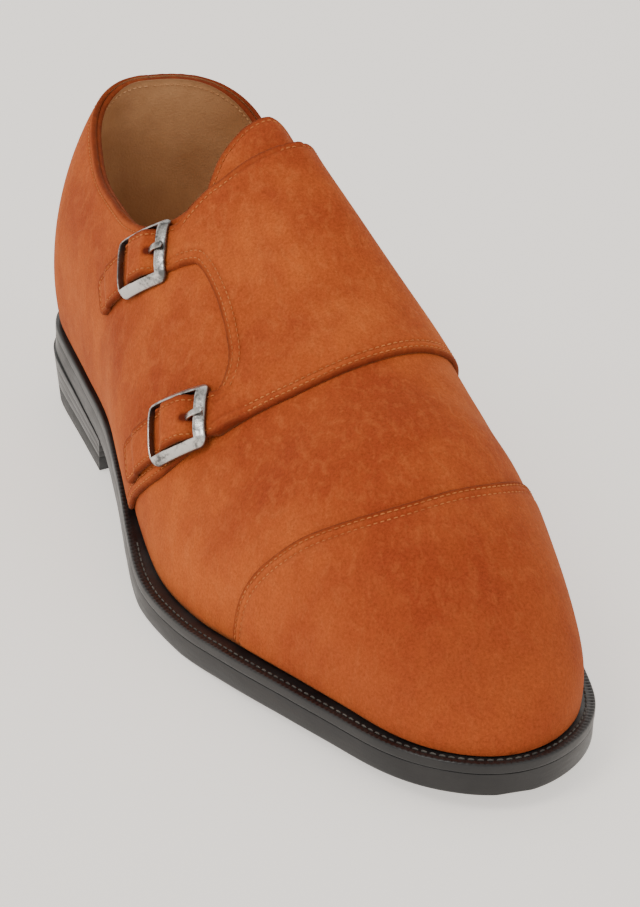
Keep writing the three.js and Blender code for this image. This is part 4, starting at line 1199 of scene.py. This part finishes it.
def make_outsole():
    def channel(inset, plan, high, low):
        cut = CHANNEL_DEPTH * np.exp(-(((inset - CHANNEL_INSET) / CHANNEL_WIDTH) ** 2))
        return high, low + cut * ease((plan[..., 0] - CHANNEL_START) / 20)

    x = stations(0, LAST_LENGTH, 0.9)[:, None]
    sole_shell("outsole_leather", x, spread(85, 34), sole_margin(x) - 0.15, outsole_top,
               outsole_bottom, (0.3, 0.9), "black_leather", "outsole", channel)


def make_insole():
    def dish(inset, plan, high, low):
        return high + 0.7 * (1 - ease(inset / 9)) - 0.4, low

    x = stations(0, LAST_LENGTH, 1.6)[:, None]
    inset = 3.5 + 2.5 * ease((x - 270) / 20)
    sole_shell("sock_lining", x, spread(60, 20), -inset,
               lambda at: LAST["feather"](at) + 2.5, lambda at: outsole_top(at) + JOINT,
               (0.5, 0.5), "sock", "insole", dish)


def make_heel_sock():
    """A thin piece of leather under the heel, glued on the sock lining."""
    x = stations(0, 92, 1.4)[:, None]
    share = spread(40, 16)
    bulge = (40 * share * (1 - share) - 10) * ease((x - 40) / 52)
    sole_shell("heel_sock", x + bulge, share, -11 + 0 * x,
               lambda at: LAST["feather"](at) + 2.85, lambda at: LAST["feather"](at) + 1.9,
               (0.45, 0.45), "heel_sock", None)


SEAT_HEIGHT = float(outsole_bottom(BREAST_X))


def heel_loop(height_at, grow=0.0):
    """A loop round the heel: back along the lateral side, forward along the medial side and
    across the breast. height_at gives the height at station x."""
    x = stations(0, BREAST_X, 1.2) / BREAST_X
    along = np.concatenate([x[::-1], x[1:], np.ones(15)])
    share = np.concatenate([np.zeros(len(x)), np.ones(len(x) - 1), np.linspace(1, 0, 17)[1:-1]])
    height = height_at(along * BREAST_X)
    up = height / SEAT_HEIGHT
    at = along * (BREAST_X + BREAST_SLANT * up)
    plan = across_sole(at, share, sole_margin(at) - HEEL_TAPER * (1 - up) + grow)
    plan[:, 0] -= BREAST_CURVE * 4 * share * (1 - share) * along**6 - grow * along**12
    return np.concatenate([plan, height[:, None]], -1)


LIFTS = 3


def make_heel():
    """The stack of leather lifts, with a fine line between each two."""
    bottom = TOP_PIECE_THICKNESS + JOINT
    shares, grows = [], []
    for lift in range(LIFTS):
        for t, grow in ((0, -0.1), (0.015, -0.03), (0.035, 0), (0.965, 0), (0.985, -0.03)):
            shares.append((lift + t) / LIFTS)
            grows.append(grow)
    shares, grows = shares + [1], grows + [-0.2]
    rings = [heel_loop(lambda x: bottom + s * (outsole_bottom(x) - JOINT - bottom), g)
             for s, g in zip(shares, grows)]
    add_piece("heel_lifts", tube(np.array(rings)), ["black_leather"],
              "heel_stack", sharp=50)
    levels = ((0, -0.5), (0.12, -0.2), (0.45, 0), (5.6, 0), (5.9, -0.12), (6, -0.4))
    rings = [heel_loop(lambda x: z + 0 * x, g) for z, g in levels]
    add_piece("heel_top_piece", tube(np.array(rings)), ["rubber"], "top_piece",
              sharp=50)


# ---------------- floor, lights and camera


STUDIO = (1.0, 0.955, 0.9)
HORIZON_GLOW, TOP_GLOW, FLOOR_GLOW = 1.45, 0.75, 0.85


def add_floor():
    mesh = bpy.data.meshes.new("floor")
    size = 30.0
    mesh.from_pydata([(-size, -size, 0), (size, -size, 0), (size, size, 0), (-size, size, 0)],
                     [], [(0, 1, 2, 3)])
    look = new_look("floor_paper")
    look.finish(look.noise(900, 2), 0.00002, Base_Color=(0.6, 0.57, 0.535), Roughness=0.9,
                Specular_IOR_Level=0.1, Emission_Color=STUDIO, Emission_Strength=FLOOR_GLOW)
    mesh.materials.append(MATERIALS["floor_paper"])
    floor = bpy.data.objects.new("floor", mesh)
    bpy.context.scene.collection.objects.link(floor)


def add_light(name, location, target, size, power, colour):
    light = bpy.data.lights.new(name, "AREA")
    light.shape = "DISK"
    light.size = size
    light.energy = power
    light.color = colour
    lamp = bpy.data.objects.new(name, light)
    lamp.location = location
    away = Vector(location) - Vector(target)
    lamp.rotation_euler = away.to_track_quat("Z", "Y").to_euler()
    bpy.context.scene.collection.objects.link(lamp)


def add_lights():
    world = bpy.data.worlds.new("studio")
    look = Shader(world, "Generated")
    height = look.add("SeparateXYZ", Vector=look.place).outputs[2]
    glow = look.level(height, 0, 0.6, HORIZON_GLOW, TOP_GLOW)
    sky = look.add("Background", Color=STUDIO, Strength=glow)
    look.add("OutputWorld", Surface=sky.outputs[0])
    bpy.context.scene.world = world
    middle = (0, 0, 0.04)
    add_light("key", (0.5, -1.2, 1.5), middle, 0.9, 17, (1.0, 0.97, 0.93))
    add_light("fill", (1.1, 0.9, 0.9), middle, 1.2, 3, (1.0, 0.98, 0.96))
    add_light("back", (-1.3, 0.3, 1.4), middle, 1.2, 5, (1.0, 0.98, 0.95))


AIM = (0.0064, 0.0053, 0.0367)
AZIMUTH, ELEVATION, ROLL = 67.7, 25.3, 3.1
DISTANCE, LENS = 1.005, 140


def add_camera():
    camera = bpy.data.cameras.new("camera")
    camera.lens = LENS
    camera.sensor_width = 36
    away = Vector((sin(radians(AZIMUTH)) * cos(radians(ELEVATION)),
                   -cos(radians(AZIMUTH)) * cos(radians(ELEVATION)), sin(radians(ELEVATION))))
    stand = bpy.data.objects.new("camera", camera)
    stand.location = Vector(AIM) + DISTANCE * away
    turn = away.to_track_quat("Z", "Y") @ Quaternion((0, 0, 1), radians(ROLL))
    stand.rotation_euler = turn.to_euler()
    bpy.context.scene.collection.objects.link(stand)
    bpy.context.scene.camera = stand


# ---------------- the shoe

make_materials()
make_upper()
make_collar_stitches()
make_toe_cap()
make_tongue()
make_strap_quarter()
make_lateral_quarter()
for place, strap in STRAPS.items():
    make_tab(place, strap)
    make_buckle(place, strap)
    make_prong(place, strap)
make_welt()
make_seat_rand()
make_outsole()
make_insole()
make_heel_sock()
make_heel()
add_floor()
add_lights()
add_camera()
